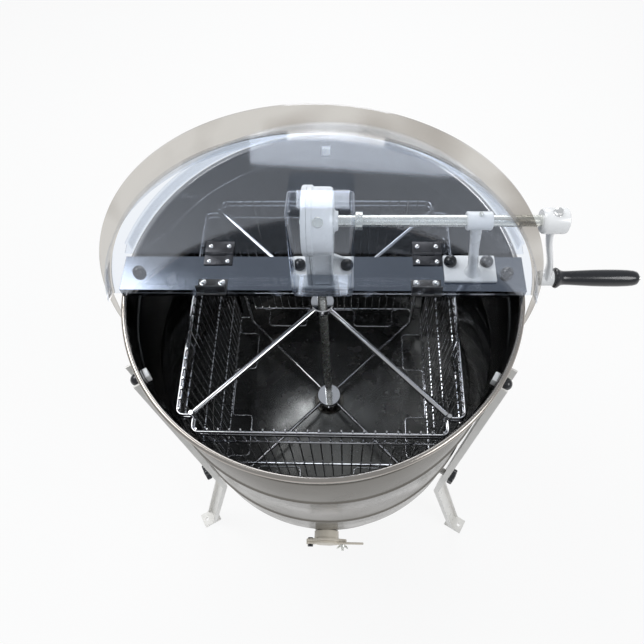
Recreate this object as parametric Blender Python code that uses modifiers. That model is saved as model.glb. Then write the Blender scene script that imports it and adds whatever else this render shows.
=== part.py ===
"""A hand-cranked honey extractor: a stainless drum on three legs with a four-frame wire cage.

The cage hangs on a vertical shaft between a foot bearing on the drum's floor and a bevel
gearbox on the bridge bar. The crank turns a horizontal shaft, whose wheel drives the cage's
pinion. Two clear half-lids are hinged on the bar: the front one stands open against the
shaft bracket, and the rear one is closed. A honey gate closes the outlet at the bottom.

Metres, +Z up. The origin lies in the flat middle of the drum's underside, on the drum's
axis, and the operator stands at -Y with the crank on the +X side.
"""

import math

import bmesh
import bpy
from mathutils import Matrix, Vector

# Shared clearances and working values
GAP = 0.0003
CUT_OVERRUN = 0.004
MERGE_DISTANCE = 0.00001
FULL_TURN = 2 * math.pi
QUARTER_TURN = math.pi / 2

# Counts of sides on round work
DRUM_SIDES = 44
LARGE_SIDES = 20
MEDIUM_SIDES = 16
SMALL_SIDES = 8
ROD_SIDES = 8
WIRE_RESOLUTION = 0
ARC_STEPS = 6

# Drum
STAND_HEIGHT = 1.030
DRUM_RADIUS = 0.315
DRUM_DEPTH = 0.660
CONE_DROP = 0.520
CONE_RADIUS = 0.3100
BASE_RADIUS = 0.2885
DRUM_WALL = 0.0012
RIM_WIRE_RADIUS = 0.0047
FLOOR_DROP = 0.565
FLOOR_FALL = 0.035
FLOOR_FLAT_RADIUS = 0.042
SEAM_HEIGHT = 0.009
SEAM_DEPTH = 0.003
PANEL_HALF_WIDTH = 0.060
BEAD_DEPTH = 0.003
BEAD_HALF_WIDTH = 0.007
OUTER_BEAD_DROPS = (0.198, 0.400)
HOOP_DROP = 0.055
HOOP_DEPTH = 0.004
HOOP_HALF_WIDTH = 0.006

# Bridge bar, a channel resting across the rim
BAR_HALF_LENGTH = 0.3195
BAR_HALF_WIDTH = 0.03175
BAR_HEIGHT = 0.019
BAR_SHEET = 0.0015
BAR_BORE_RADIUS = 0.0165
BAR_KNOB_X = 0.2920
BAR_SHELF_LENGTH = 0.034
BAR_SHELF_HALF_WIDTH = 0.013
BAR_SHELF_THICKNESS = 0.003
BAR_SHELF_DROP = 0.003

# Crank shaft, its axis above the rim
SHAFT_HEIGHT = 0.1535
SHAFT_RADIUS = 0.008
SHAFT_LEFT_X = -0.0150
SHAFT_CLEARANCE = 0.0003

# Bevel gears
PINION_TEETH = 12
WHEEL_TEETH = 36
GEAR_MODULE = 0.0022
GEAR_FACE = 0.0125
PRESSURE_ANGLE = math.radians(25)
ADDENDUM_SHARE = 0.9
DEDENDUM_SHARE = 1.2
BACKLASH = 0.00035
PINION_HUB_RADIUS = 0.0095
PINION_HUB_LENGTH = 0.0065
PINION_BORE_RADIUS = 0.0050
WHEEL_HUB_RADIUS = 0.0150
WHEEL_HUB_LENGTH = 0.0060

# Gearbox casting
CASE_RADIUS = 0.049
CASE_WALL = 0.0030
CASE_LEFT_X = -0.0200
CASE_SPLIT_X = -0.0120
CASE_RIGHT_X = 0.0240
CASE_NECK_HALF_DEPTH = 0.027
CASE_NECK_LEFT_X = -0.0185
CASE_BEVEL = 0.0015
FLANGE_LEFT_X = -0.0440
FLANGE_RIGHT_X = 0.0530
FLANGE_FRONT_Y = -0.0290
FLANGE_REAR_Y = 0.0290
FLANGE_THICKNESS = 0.006
GEARBOX_KNOB_LEFT_X = -0.0330
GEARBOX_KNOB_RIGHT_X = 0.0420
GEARBOX_KNOB_Y = 0.0100
BUSH_RADIUS = 0.0130
BUSH_TOP = 0.0700
BOSS_RADIUS = 0.0140
BOSS_LENGTH = 0.0060

# Bracket that carries the crank shaft's outer end
BRACKET_BOSS_LEFT_X = 0.2050
BRACKET_BOSS_RIGHT_X = 0.2400
BRACKET_BOSS_RADIUS = 0.0130
BRACKET_BASE_LEFT_X = 0.1940
BRACKET_BASE_RIGHT_X = 0.2750
BRACKET_BASE_FRONT_Y = -0.0170
BRACKET_BASE_REAR_Y = 0.0310
BRACKET_BASE_THICKNESS = 0.006
BRACKET_STEM_LEFT_X = 0.2150
BRACKET_STEM_WIDTH = 0.0150
BRACKET_STEM_HALF_DEPTH = 0.0100
BRACKET_KNOB_LEFT_X = 0.2045
BRACKET_KNOB_RIGHT_X = 0.2610
BRACKET_KNOB_Y = 0.0170

# Collar beside the gearbox
COLLAR_RADIUS = 0.0125
COLLAR_WIDTH = 0.0100

# Crank arm and grip
CRANK_HUB_LEFT_X = 0.3060
CRANK_HUB_RIGHT_X = 0.3410
CRANK_HUB_RADIUS = 0.0180
CRANK_DROP = 0.1455
CRANK_BOSS_LEFT_X = 0.3440
CRANK_BOSS_RIGHT_X = 0.3670
CRANK_BOSS_RADIUS = 0.0125
CRANK_ARM_THICKNESS = 0.0100
CRANK_ARM_HALF_WIDTH = 0.0100
CRANK_ARM_STATIONS = 9
SPINDLE_RADIUS = 0.0040
SPINDLE_HEAD_RADIUS = 0.0075
SPINDLE_HEAD_LENGTH = 0.0035
GRIP_LENGTH = 0.1300
GRIP_RADIUS = 0.0135
GRIP_WAIST_RADIUS = 0.0110
GRIP_COLLAR_RADIUS = 0.0165
GRIP_COLLAR_LENGTH = 0.0060

# Cage
CAGE_SHAFT_RADIUS = 0.008
CAGE_POST_REACH = 0.2030
CAGE_POST_RADIUS = 0.0040
GRID_REACH = 0.2300
GRID_HALF_LENGTH = 0.1950
GRID_THICKNESS = 0.0030
RAIL_HEIGHT = 0.0050
GRID_WIRE_WIDTH = 0.0028
GRID_GAPS = 22
RAIL_DROPS = (0.0850, 0.1350, 0.2770, 0.4100, 0.5100)
HOOK_RADIUS = 0.0027
UPPER_ARM_DROP = 0.0770
UPPER_ARM_RADIUS = 0.0050
UPPER_HUB_RADIUS = 0.0210
LOWER_ARM_DROP = 0.5320
LOWER_ARM_RADIUS = 0.0040
LOWER_HUB_RADIUS = 0.0280
HUB_HEIGHT = 0.0140
POST_END = 0.0070
REST_RADIUS = 0.0020
REST_REACH = 0.0470
REST_HALF_WIDTH = 0.0480
REST_CENTRE = 0.1080
REST_TAIL = 0.0120
REST_RISE = 0.0080

# Foot bearing on the drum's floor
BEARING_FLANGE_RADIUS = 0.0360
BEARING_FLANGE_THICKNESS = 0.0040
BEARING_BODY_RADIUS = 0.0220
BEARING_HEIGHT = 0.0200
BEARING_FLOOR = 0.0040

# Legs
LEG_AZIMUTHS = {"left": math.radians(210), "right": math.radians(330), "rear": math.radians(90)}
LEG_STANDOFF = 0.0052
LEG_HALF_WIDTH = 0.0200
LEG_SHEET = 0.0030
LEG_FLANGE = 0.0130
LEG_TOP_DROP = 0.0150
LEG_ELBOW_DROP = 0.7400
LEG_FOOT_RADIUS = 0.4120
FOOT_LENGTH = 0.0500
FOOT_HOLE_RADIUS = 0.0050
LEG_UPPER_BOLT_DROP = 0.0330
LEG_LOWER_BOLT_DROP = 0.6120
LEG_BOSS_RADIUS = 0.0080

# Knobs and their studs
DOME_RADIUS = 0.0102
DOME_HEIGHT = 0.0130
DOME_SKIRT = 0.0030
STUD_RADIUS = 0.0030
STUD_HOLE_RADIUS = 0.0034
LEG_STUD_RADIUS = 0.0039
LEG_STUD_HOLE_RADIUS = 0.0043
LEG_STUD_INSIDE = 0.0060
STAR_RADIUS = 0.0200
STAR_VALLEY = 0.0150
STAR_LOBES = 5
STAR_THICKNESS = 0.0120
STAR_HUB_RADIUS = 0.0085
STAR_HUB_LENGTH = 0.0110

# Lids and their hinges
HINGE_HEIGHT = 0.0206
HINGE_LEAF = 0.0020
HINGE_BARREL_RADIUS = 0.0030
HINGE_PIN_RADIUS = 0.0016
HINGE_HALF_WIDTH = 0.0230
HINGE_KNUCKLE_HALF_WIDTH = 0.0110
FRONT_HINGE_Y = -0.0385
FRONT_HINGE_LEFT_X = -0.1700
FRONT_HINGE_RIGHT_X = 0.1655
FRONT_BAR_LEAF_END_Y = -0.0130
FRONT_LID_LEAF_LENGTH = 0.0170
REAR_HINGE_Y = 0.0355
REAR_HINGE_LEFT_X = -0.1660
REAR_HINGE_RIGHT_X = 0.1700
REAR_BAR_LEAF_END_Y = 0.0150
REAR_LID_LEAF_LENGTH = 0.0240
LID_SHEET = 0.0030
LID_SKIRT_SHEET = 0.0025
LID_SKIRT_DROP = 0.0190
LID_SKIRT_RADIUS = 0.3275
LID_EDGE_SETBACK = 0.0055
FRONT_LID_RADIUS = 0.3340
FRONT_LID_BRIM = 0.0270
FRONT_EAR_X = 0.3262
REAR_LID_RADIUS = 0.3325
REAR_NOTCH_X = 0.3235
REAR_NOTCH_Y = 0.0560
REAR_NOTCH_EASE = 0.0020
POCKET_LEFT_X = -0.0340
POCKET_RIGHT_X = 0.0490
POCKET_START = 0.0450
POCKET_END = 0.2000
POCKET_DEPTH = 0.0400

# Outlet and honey gate
OUTLET_DROP = 0.5740
OUTLET_BORE_RADIUS = 0.0200
OUTLET_WALL = 0.0020
OUTLET_LENGTH = 0.0205
OUTLET_INSIDE = 0.0080
GATE_COLLAR_RADIUS = 0.0270
GATE_COLLAR_LENGTH = 0.0160
GATE_FACE_RADIUS = 0.0290
GATE_FACE_THICKNESS = 0.0070
GATE_LOBE_RADIUS = 0.0090
GATE_LOBE_X = 0.0360
GATE_LOBE_DROP = 0.0060
GATE_BLADE_RADIUS = 0.0260
GATE_BLADE_THICKNESS = 0.0040
GATE_HANDLE_LENGTH = 0.0820
GATE_HANDLE_HALF_HEIGHT = 0.0045
GATE_HANDLE_RISE = 0.0120
GATE_SLOT_HALF_WIDTH = 0.0038
GATE_BOLT_RADIUS = 0.0030
GATE_NUT_RADIUS = 0.0060
GATE_NUT_THICKNESS = 0.0050
GATE_WING_SPAN = 0.0130
GATE_WING_THICKNESS = 0.0030
GATE_WING_HEIGHT = 0.0070

# Sizes that follow
RIM_HEIGHT = FLOOR_DROP + DRUM_WALL
GROUND_LEVEL = RIM_HEIGHT - STAND_HEIGHT
OUTER_RADIUS = DRUM_RADIUS + DRUM_WALL
AXIS_HEIGHT = RIM_HEIGHT + SHAFT_HEIGHT
BAR_TOP = RIM_HEIGHT + BAR_HEIGHT
PITCH_ANGLE_PINION = math.atan2(PINION_TEETH, WHEEL_TEETH)
PITCH_ANGLE_WHEEL = QUARTER_TURN - PITCH_ANGLE_PINION
PINION_PITCH_RADIUS = GEAR_MODULE * PINION_TEETH / 2
WHEEL_PITCH_RADIUS = GEAR_MODULE * WHEEL_TEETH / 2
CONE_DISTANCE = math.hypot(PINION_PITCH_RADIUS, WHEEL_PITCH_RADIUS)
FLOOR_HEIGHT = RIM_HEIGHT - FLOOR_DROP
LEG_RADIUS = OUTER_RADIUS + LEG_STANDOFF
CRANK_GRIP_HEIGHT = AXIS_HEIGHT - CRANK_DROP
HINGE_LEVEL = RIM_HEIGHT + HINGE_HEIGHT
LID_TOP_SINK = HINGE_LEAF / 2 + GAP


def wall_radius(drop):
    """The wall's inner radius at a drop below the rim: a slight taper, then a steeper base."""
    if drop <= CONE_DROP:
        return DRUM_RADIUS + (CONE_RADIUS - DRUM_RADIUS) * drop / CONE_DROP
    share = (drop - CONE_DROP) / (DRUM_DEPTH - SEAM_HEIGHT - CONE_DROP)
    return CONE_RADIUS + (BASE_RADIUS - CONE_RADIUS) * share


def lid_lean():
    """The angle from level at which the open lid's sheet rests on the bracket's boss."""
    run = -FRONT_HINGE_Y
    rise = SHAFT_HEIGHT - HINGE_HEIGHT
    reach = BRACKET_BOSS_RADIUS + GAP - LID_TOP_SINK
    return math.atan2(rise, run) + math.asin(reach / math.hypot(run, rise))


LID_LEAN = lid_lean()
OUTLET_SEAT = wall_radius(OUTLET_DROP) + DRUM_WALL
OUTLET_REACH = OUTLET_SEAT + OUTLET_LENGTH


# Scene, collections and finishes


def clear_scene():
    for obj in list(bpy.data.objects):
        bpy.data.objects.remove(obj, do_unlink=True)


def new_collection(name):
    collection = bpy.data.collections.new(name)
    bpy.context.scene.collection.children.link(collection)
    return collection


clear_scene()
PARTS = new_collection("honey_extractor")
HELPERS = new_collection("helpers")


def finish(name, colour, roughness, metallic, alpha=1.0):
    material = bpy.data.materials.new(name)
    material.use_nodes = True
    shader = material.node_tree.nodes["Principled BSDF"]
    shader.inputs["Base Color"].default_value = (*colour, 1.0)
    shader.inputs["Roughness"].default_value = roughness
    shader.inputs["Metallic"].default_value = metallic
    shader.inputs["Alpha"].default_value = alpha
    return material


STAINLESS = finish("stainless", (0.62, 0.61, 0.59), 0.28, 1.0)
POLISHED = finish("polished_stainless", (0.70, 0.70, 0.70), 0.12, 1.0)
CHROME = finish("chrome_wire", (0.75, 0.75, 0.76), 0.10, 1.0)
PLATED = finish("plated_steel", (0.58, 0.60, 0.55), 0.30, 1.0)
GEAR_STEEL = finish("gear_steel", (0.45, 0.45, 0.46), 0.35, 1.0)
WHITE_ENAMEL = finish("white_enamel", (0.86, 0.87, 0.87), 0.25, 0.0)
LEG_PAINT = finish("leg_paint", (0.78, 0.78, 0.75), 0.40, 0.0)
BLACK_PLASTIC = finish("black_plastic", (0.012, 0.013, 0.016), 0.25, 0.0)
BLACK_PLATE = finish("black_plate", (0.02, 0.02, 0.022), 0.45, 0.5)
GREY_PLATE = finish("grey_plate", (0.12, 0.12, 0.13), 0.40, 0.5)
CLEAR_SHEET = finish("clear_sheet", (0.80, 0.84, 0.88), 0.05, 0.0, 0.25)
GATE_PLASTIC = finish("gate_plastic", (0.66, 0.64, 0.58), 0.45, 0.0)
BRONZE = finish("bronze", (0.55, 0.38, 0.18), 0.35, 1.0)


# Builders for plain and turned shapes


def put(obj, finish_used, helper=False):
    """Links an object to its collection, with its finish, or as a hidden helper."""
    (HELPERS if helper else PARTS).objects.link(obj)
    if helper:
        obj.hide_render = True
        obj.display_type = "WIRE"
    else:
        obj.data.materials.append(finish_used)
    return obj


def mesh_object(name, work, finish_used):
    """An object from a bmesh, or a helper where no finish is given."""
    mesh = bpy.data.meshes.new(name)
    bmesh.ops.recalc_face_normals(work, faces=work.faces)
    work.to_mesh(mesh)
    work.free()
    obj = bpy.data.objects.new(name, mesh)
    return put(obj, finish_used, helper=finish_used is None)


def block(name, low, high, finish_used=None):
    """A box between two corners."""
    low, high = Vector(low), Vector(high)
    work = bmesh.new()
    place = Matrix.Translation((low + high) / 2) @ Matrix.Diagonal((*(high - low), 1))
    bmesh.ops.create_cube(work, size=1, matrix=place)
    return mesh_object(name, work, finish_used)


def rod(name, start, end, radius, finish_used=None, sides=ROD_SIDES):
    """A straight round bar between two points."""
    start, end = Vector(start), Vector(end)
    along = end - start
    turn = along.to_track_quat("Z", "Y").to_matrix().to_4x4()
    work = bmesh.new()
    bmesh.ops.create_cone(
        work,
        cap_ends=True,
        segments=sides,
        radius1=radius,
        radius2=radius,
        depth=along.length,
        matrix=Matrix.Translation((start + end) / 2) @ turn,
    )
    return mesh_object(name, work, finish_used)


def facing(point, direction):
    """The matrix that puts a shape's Z axis along a direction, with its origin at a point."""
    turn = Vector(direction).to_track_quat("Z", "Y").to_matrix().to_4x4()
    return Matrix.Translation(Vector(point)) @ turn


def turned(name, profile, place, finish_used=None, sides=MEDIUM_SIDES, ring=False):
    """A turned solid: its profile of (radius, height) runs down the outer side.

    A ring's profile is closed, and any other starts and ends on the axis.
    """
    mesh = bpy.data.meshes.new(name)
    count = len(profile)
    edges = [(i, i + 1) for i in range(count - 1)]
    if ring:
        edges.append((count - 1, 0))
    mesh.from_pydata([(radius, 0, height) for radius, height in profile], edges, [])
    obj = bpy.data.objects.new(name, mesh)
    obj.matrix_world = place
    screw = obj.modifiers.new("turn", "SCREW")
    screw.steps = sides
    screw.render_steps = sides
    screw.use_merge_vertices = True
    screw.merge_threshold = MERGE_DISTANCE
    screw.use_smooth_shade = False
    return put(obj, finish_used, helper=finish_used is None)


def as_mesh(curve_obj, finish_used):
    """The curve object's solid as a mesh object with its caps welded."""
    PARTS.objects.link(curve_obj)
    bpy.context.view_layer.update()
    graph = bpy.context.evaluated_depsgraph_get()
    mesh = bpy.data.meshes.new_from_object(curve_obj.evaluated_get(graph))
    name, place = curve_obj.name, curve_obj.matrix_world.copy()
    bpy.data.objects.remove(curve_obj, do_unlink=True)
    work = bmesh.new()
    work.from_mesh(mesh)
    bmesh.ops.remove_doubles(work, verts=work.verts, dist=MERGE_DISTANCE)
    bmesh.ops.recalc_face_normals(work, faces=work.faces)
    work.to_mesh(mesh)
    work.free()
    mesh.materials.clear()
    obj = bpy.data.objects.new(name, mesh)
    obj.name = name
    obj.matrix_world = place
    return put(obj, finish_used, helper=finish_used is None)


def plate(name, outlines, thickness, place, finish_used=None):
    """A flat plate from closed outlines, the first its edge and the others its holes."""
    curve = bpy.data.curves.new(name, "CURVE")
    curve.dimensions = "2D"
    curve.fill_mode = "BOTH"
    curve.extrude = thickness / 2
    for outline in outlines:
        spline = curve.splines.new("POLY")
        spline.points.add(len(outline) - 1)
        for point, (x, y) in zip(spline.points, outline):
            point.co = (x, y, 0, 1)
        spline.use_cyclic_u = True
    obj = bpy.data.objects.new(name, curve)
    obj.matrix_world = place
    return as_mesh(obj, finish_used)


def wire(name, points, radius, finish_used=None, resolution=WIRE_RESOLUTION):
    """A bent wire along a route of points, with closed ends."""
    curve = bpy.data.curves.new(name, "CURVE")
    curve.dimensions = "3D"
    curve.bevel_depth = radius
    curve.bevel_resolution = resolution
    curve.use_fill_caps = True
    spline = curve.splines.new("POLY")
    spline.points.add(len(points) - 1)
    for point, place in zip(spline.points, points):
        point.co = (*place, 1)
    return as_mesh(bpy.data.objects.new(name, curve), finish_used)


def boolean(obj, other, operation):
    step = obj.modifiers.new(operation.lower(), "BOOLEAN")
    step.operation = operation
    step.solver = "EXACT"
    step.object = other
    return obj


def join(obj, *others):
    for other in others:
        boolean(obj, other, "UNION")
    return obj


def cut(obj, *others):
    for other in others:
        boolean(obj, other, "DIFFERENCE")
    return obj


def hole(obj, start, end, radius, sides=ROD_SIDES):
    """Drills a round hole between two points, past both by the shared overrun."""
    start, end = Vector(start), Vector(end)
    along = (end - start).normalized() * CUT_OVERRUN
    name = f"{obj.name}_hole_{len(obj.modifiers)}"
    return cut(obj, rod(name, start - along, end + along, radius, sides=sides))


def arc(radius, first, last, steps, centre=(0, 0)):
    """Points of a circle's arc between two angles, both ends counted."""
    angles = [first + (last - first) * i / steps for i in range(steps + 1)]
    return [(centre[0] + radius * math.cos(a), centre[1] + radius * math.sin(a)) for a in angles]


def pivot(name, place):
    """An empty on a joint's axis, which carries the pieces that turn on it."""
    empty = bpy.data.objects.new(name, None)
    empty.location = place
    PARTS.objects.link(empty)
    bpy.context.view_layer.update()
    return empty


def carry(empty, *pieces):
    """Parents pieces to an empty and keeps them where they are."""
    for piece in pieces:
        place = piece.matrix_world.copy()
        piece.parent = empty
        piece.matrix_parent_inverse = empty.matrix_world.inverted()
        piece.matrix_world = place


def around(azimuth, radius, height):
    """A point at an azimuth and radius about the drum's axis."""
    return Vector((radius * math.cos(azimuth), radius * math.sin(azimuth), height))


# Drum


def bead(radius, drop, depth, half_width):
    """A rolled bead in the wall: it swells outwards for a positive depth."""
    middle = RIM_HEIGHT - drop
    return [
        (radius, middle + half_width),
        (radius + depth, middle),
        (radius, middle - half_width),
    ]


def drum_profile():
    """The straight wall's closed section: over the rim, down the outside, up the inside."""
    rim_centre = (OUTER_RADIUS + RIM_WIRE_RADIUS - DRUM_WALL, RIM_HEIGHT - RIM_WIRE_RADIUS)
    rim = arc(RIM_WIRE_RADIUS, math.pi, -QUARTER_TURN - math.pi / 4, ARC_STEPS, rim_centre)
    outside = []
    for drop in OUTER_BEAD_DROPS:
        outside += bead(wall_radius(drop) + DRUM_WALL, drop, BEAD_DEPTH, BEAD_HALF_WIDTH)
    bottom = RIM_HEIGHT - CONE_DROP
    foot = [(CONE_RADIUS + DRUM_WALL, bottom), (CONE_RADIUS, bottom)]
    hoop = bead(wall_radius(HOOP_DROP), HOOP_DROP, -HOOP_DEPTH, HOOP_HALF_WIDTH)
    return rim + outside + foot + list(reversed(hoop))


def base_profile():
    """The tapered base's closed section, a gap below the wall, with the seam at its foot."""
    top, bottom = RIM_HEIGHT - CONE_DROP - GAP, RIM_HEIGHT - DRUM_DEPTH
    edge = BASE_RADIUS + DRUM_WALL
    return [
        (CONE_RADIUS + DRUM_WALL, top),
        (edge, bottom + SEAM_HEIGHT),
        (edge + SEAM_DEPTH, bottom + SEAM_HEIGHT - SEAM_DEPTH),
        (edge + SEAM_DEPTH, bottom),
        (BASE_RADIUS, bottom),
        (BASE_RADIUS, bottom + SEAM_HEIGHT),
        (CONE_RADIUS, top),
    ]


def outlet_place(reach):
    """A point on the outlet's axis, at a reach from the drum's axis."""
    return Vector((0, -reach, RIM_HEIGHT - OUTLET_DROP))


def make_drum():
    drum = turned("drum_shell", drum_profile(), Matrix(), STAINLESS, DRUM_SIDES, ring=True)
    sink = DRUM_WALL / 2
    for side, x in (("left", -1), ("right", 1)):
        outer = x * (DRUM_RADIUS + sink)
        inner = x * (DRUM_RADIUS - BAR_SHELF_LENGTH)
        level = RIM_HEIGHT - BAR_SHELF_DROP
        shelf = block(
            f"bar_shelf_{side}",
            (min(inner, outer), -BAR_SHELF_HALF_WIDTH, level - BAR_SHELF_THICKNESS),
            (max(inner, outer), BAR_SHELF_HALF_WIDTH, level),
        )
        join(drum, shelf)
        x_knob = x * BAR_KNOB_X
        hole(drum, (x_knob, 0, level - BAR_SHELF_THICKNESS), (x_knob, 0, level), STUD_HOLE_RADIUS)
    return leg_holes(drum, LEG_UPPER_BOLT_DROP)


def leg_holes(sheet, drop):
    """Drills the wall for each leg's stud at a drop below the rim."""
    inner, height = wall_radius(drop), RIM_HEIGHT - drop
    for azimuth in LEG_AZIMUTHS.values():
        start, end = around(azimuth, inner, height), around(azimuth, inner + DRUM_WALL, height)
        hole(sheet, start, end, LEG_STUD_HOLE_RADIUS)
    return sheet


def make_base():
    """The tapered base in two sheets: the panel round the outlet and the ring beside it."""
    section = base_profile()
    ring = turned("drum_skirt", section, Matrix(), STAINLESS, DRUM_SIDES, ring=True)
    panel = turned("outlet_panel", section, Matrix(), STAINLESS, DRUM_SIDES, ring=True)
    low, high = RIM_HEIGHT - DRUM_DEPTH - CUT_OVERRUN, RIM_HEIGHT - CONE_DROP
    front, back = -(OUTER_RADIUS + SEAM_DEPTH), -FLOOR_FLAT_RADIUS
    window, span = PANEL_HALF_WIDTH + GAP / 2, PANEL_HALF_WIDTH - GAP / 2
    cut(ring, block("panel_window", (-window, front, low), (window, back, high)))
    boolean(panel, block("panel_span", (-span, front, low), (span, back, high)), "INTERSECT")
    leg_holes(ring, LEG_LOWER_BOLT_DROP)
    inner, outer = outlet_place(OUTLET_SEAT - OUTLET_INSIDE), outlet_place(OUTLET_SEAT + OUTLET_INSIDE)
    clearance = (OUTLET_BORE_RADIUS + OUTLET_WALL + GAP) / math.cos(math.pi / MEDIUM_SIDES)
    return hole(panel, inner, outer, clearance, MEDIUM_SIDES)


def make_floor():
    """The floor sheet: a flat middle that falls to its edge, a gap short of the wall."""
    edge_height = FLOOR_HEIGHT - FLOOR_FALL
    edge = wall_radius(FLOOR_DROP + FLOOR_FALL + DRUM_WALL) - GAP
    profile = [
        (0, FLOOR_HEIGHT),
        (FLOOR_FLAT_RADIUS, FLOOR_HEIGHT),
        (edge, edge_height),
        (edge, edge_height - DRUM_WALL),
        (FLOOR_FLAT_RADIUS, FLOOR_HEIGHT - DRUM_WALL),
        (0, FLOOR_HEIGHT - DRUM_WALL),
    ]
    return turned("drum_floor", profile, Matrix(), STAINLESS, DRUM_SIDES)


def make_outlet_pipe():
    """The stub in the wall, just above the floor's edge."""
    outer = OUTLET_BORE_RADIUS + OUTLET_WALL
    length = OUTLET_LENGTH + OUTLET_INSIDE
    profile = [
        (OUTLET_BORE_RADIUS, 0),
        (outer, 0),
        (outer, -length),
        (OUTLET_BORE_RADIUS, -length),
    ]
    return turned("outlet_pipe", profile, gate_place(OUTLET_REACH), STAINLESS, ring=True)


def make_foot_bearing():
    base = FLOOR_HEIGHT + GAP
    profile = [
        (0, base + BEARING_FLOOR),
        (CAGE_SHAFT_RADIUS + SHAFT_CLEARANCE, base + BEARING_FLOOR),
        (CAGE_SHAFT_RADIUS + SHAFT_CLEARANCE, base + BEARING_HEIGHT),
        (BEARING_BODY_RADIUS, base + BEARING_HEIGHT),
        (BEARING_BODY_RADIUS, base + BEARING_FLANGE_THICKNESS),
        (BEARING_FLANGE_RADIUS, base + BEARING_FLANGE_THICKNESS),
        (BEARING_FLANGE_RADIUS, base),
        (0, base),
    ]
    return turned("foot_bearing", profile, Matrix(), STAINLESS)


# Legs


def leg_section(turn):
    """The channel's section in its own plane: across the leg, and out from the drum."""
    wide, inner = LEG_HALF_WIDTH, LEG_HALF_WIDTH - LEG_SHEET
    outline = [
        (-wide, 0),
        (wide, 0),
        (wide, LEG_FLANGE),
        (inner, LEG_FLANGE),
        (inner, LEG_SHEET),
        (-inner, LEG_SHEET),
        (-inner, LEG_FLANGE),
        (-wide, LEG_FLANGE),
    ]
    return [(across, out * turn) for across, out in outline]


def make_leg(side, azimuth):
    """A folded channel: upright against the drum, splayed below it, and flat at the foot."""
    stations = [
        (LEG_RADIUS, RIM_HEIGHT - LEG_TOP_DROP),
        (LEG_RADIUS, RIM_HEIGHT - LEG_ELBOW_DROP),
        (LEG_FOOT_RADIUS, GROUND_LEVEL + LEG_SHEET),
    ]
    upright, splay = (Vector(b) - Vector(a) for a, b in zip(stations, stations[1:]))
    lean = math.atan2(splay.x, -splay.y)
    tilts = (0, lean / 2, lean)
    work = bmesh.new()
    rings = []
    for (radius, height), tilt in zip(stations, tilts):
        stretch = 1 / math.cos(lean / 2) if tilt == lean / 2 else 1
        ring = []
        for across, out in leg_section(stretch):
            reach = radius + out * math.cos(tilt)
            level = height + out * math.sin(tilt)
            ring.append(work.verts.new((reach, across, level)))
        rings.append(ring)
    for first, second in zip(rings, rings[1:]):
        for i, vert in enumerate(first):
            j = (i + 1) % len(first)
            work.faces.new((vert, first[j], second[j], second[i]))
    work.faces.new(rings[0])
    work.faces.new(reversed(rings[-1]))
    leg = mesh_object(f"leg_{side}", work, LEG_PAINT)
    foot_start = LEG_FOOT_RADIUS - LEG_FLANGE
    foot_top = GROUND_LEVEL + LEG_SHEET + LEG_SHEET
    foot = block(
        f"foot_{side}",
        (foot_start, -LEG_HALF_WIDTH, GROUND_LEVEL),
        (foot_start + FOOT_LENGTH, LEG_HALF_WIDTH, foot_top),
    )
    join(leg, foot)
    below = block(
        f"floor_{side}",
        (0, -FOOT_LENGTH, GROUND_LEVEL - FOOT_LENGTH),
        (LEG_FOOT_RADIUS + FOOT_LENGTH + FOOT_LENGTH, FOOT_LENGTH, GROUND_LEVEL),
    )
    cut(leg, below)
    hole_x = foot_start + FOOT_LENGTH - LEG_FLANGE
    hole(leg, (hole_x, 0, GROUND_LEVEL), (hole_x, 0, foot_top), FOOT_HOLE_RADIUS)
    lower = RIM_HEIGHT - LEG_LOWER_BOLT_DROP
    seat = wall_radius(LEG_LOWER_BOLT_DROP - LEG_BOSS_RADIUS) + DRUM_WALL + GAP
    boss_end = LEG_RADIUS + LEG_SHEET / 2
    boss = rod(f"leg_{side}_boss", (seat, 0, lower), (boss_end, 0, lower), LEG_BOSS_RADIUS)
    join(leg, boss)
    for drop in (LEG_UPPER_BOLT_DROP, LEG_LOWER_BOLT_DROP):
        height = RIM_HEIGHT - drop
        start, end = (wall_radius(drop) + DRUM_WALL, 0, height), (LEG_RADIUS + LEG_SHEET, 0, height)
        hole(leg, start, end, LEG_STUD_HOLE_RADIUS)
    turn = Matrix.Rotation(azimuth, 4, "Z")
    leg.matrix_world = turn
    for helper in HELPERS.objects:
        if helper.name.startswith((f"foot_{side}", f"floor_{side}", f"leg_{side}_")):
            helper.matrix_world = turn
    return leg


# Knobs, each with its stud


def dome_knob(name, seat, outward, stud_radius, stud_length):
    """A black cap knob on its seat, with a stud into what it clamps."""
    rise = DOME_HEIGHT - DOME_SKIRT
    dome = [
        (DOME_RADIUS * math.sin(QUARTER_TURN * i / 3), DOME_SKIRT + rise * math.cos(QUARTER_TURN * i / 3))
        for i in range(4)
    ]
    stud = [(DOME_RADIUS, 0), (stud_radius, 0), (stud_radius, -stud_length), (0, -stud_length)]
    place = facing(Vector(seat) + Vector(outward) * GAP, outward)
    return turned(name, dome + stud, place, BLACK_PLASTIC, SMALL_SIDES)


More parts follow.
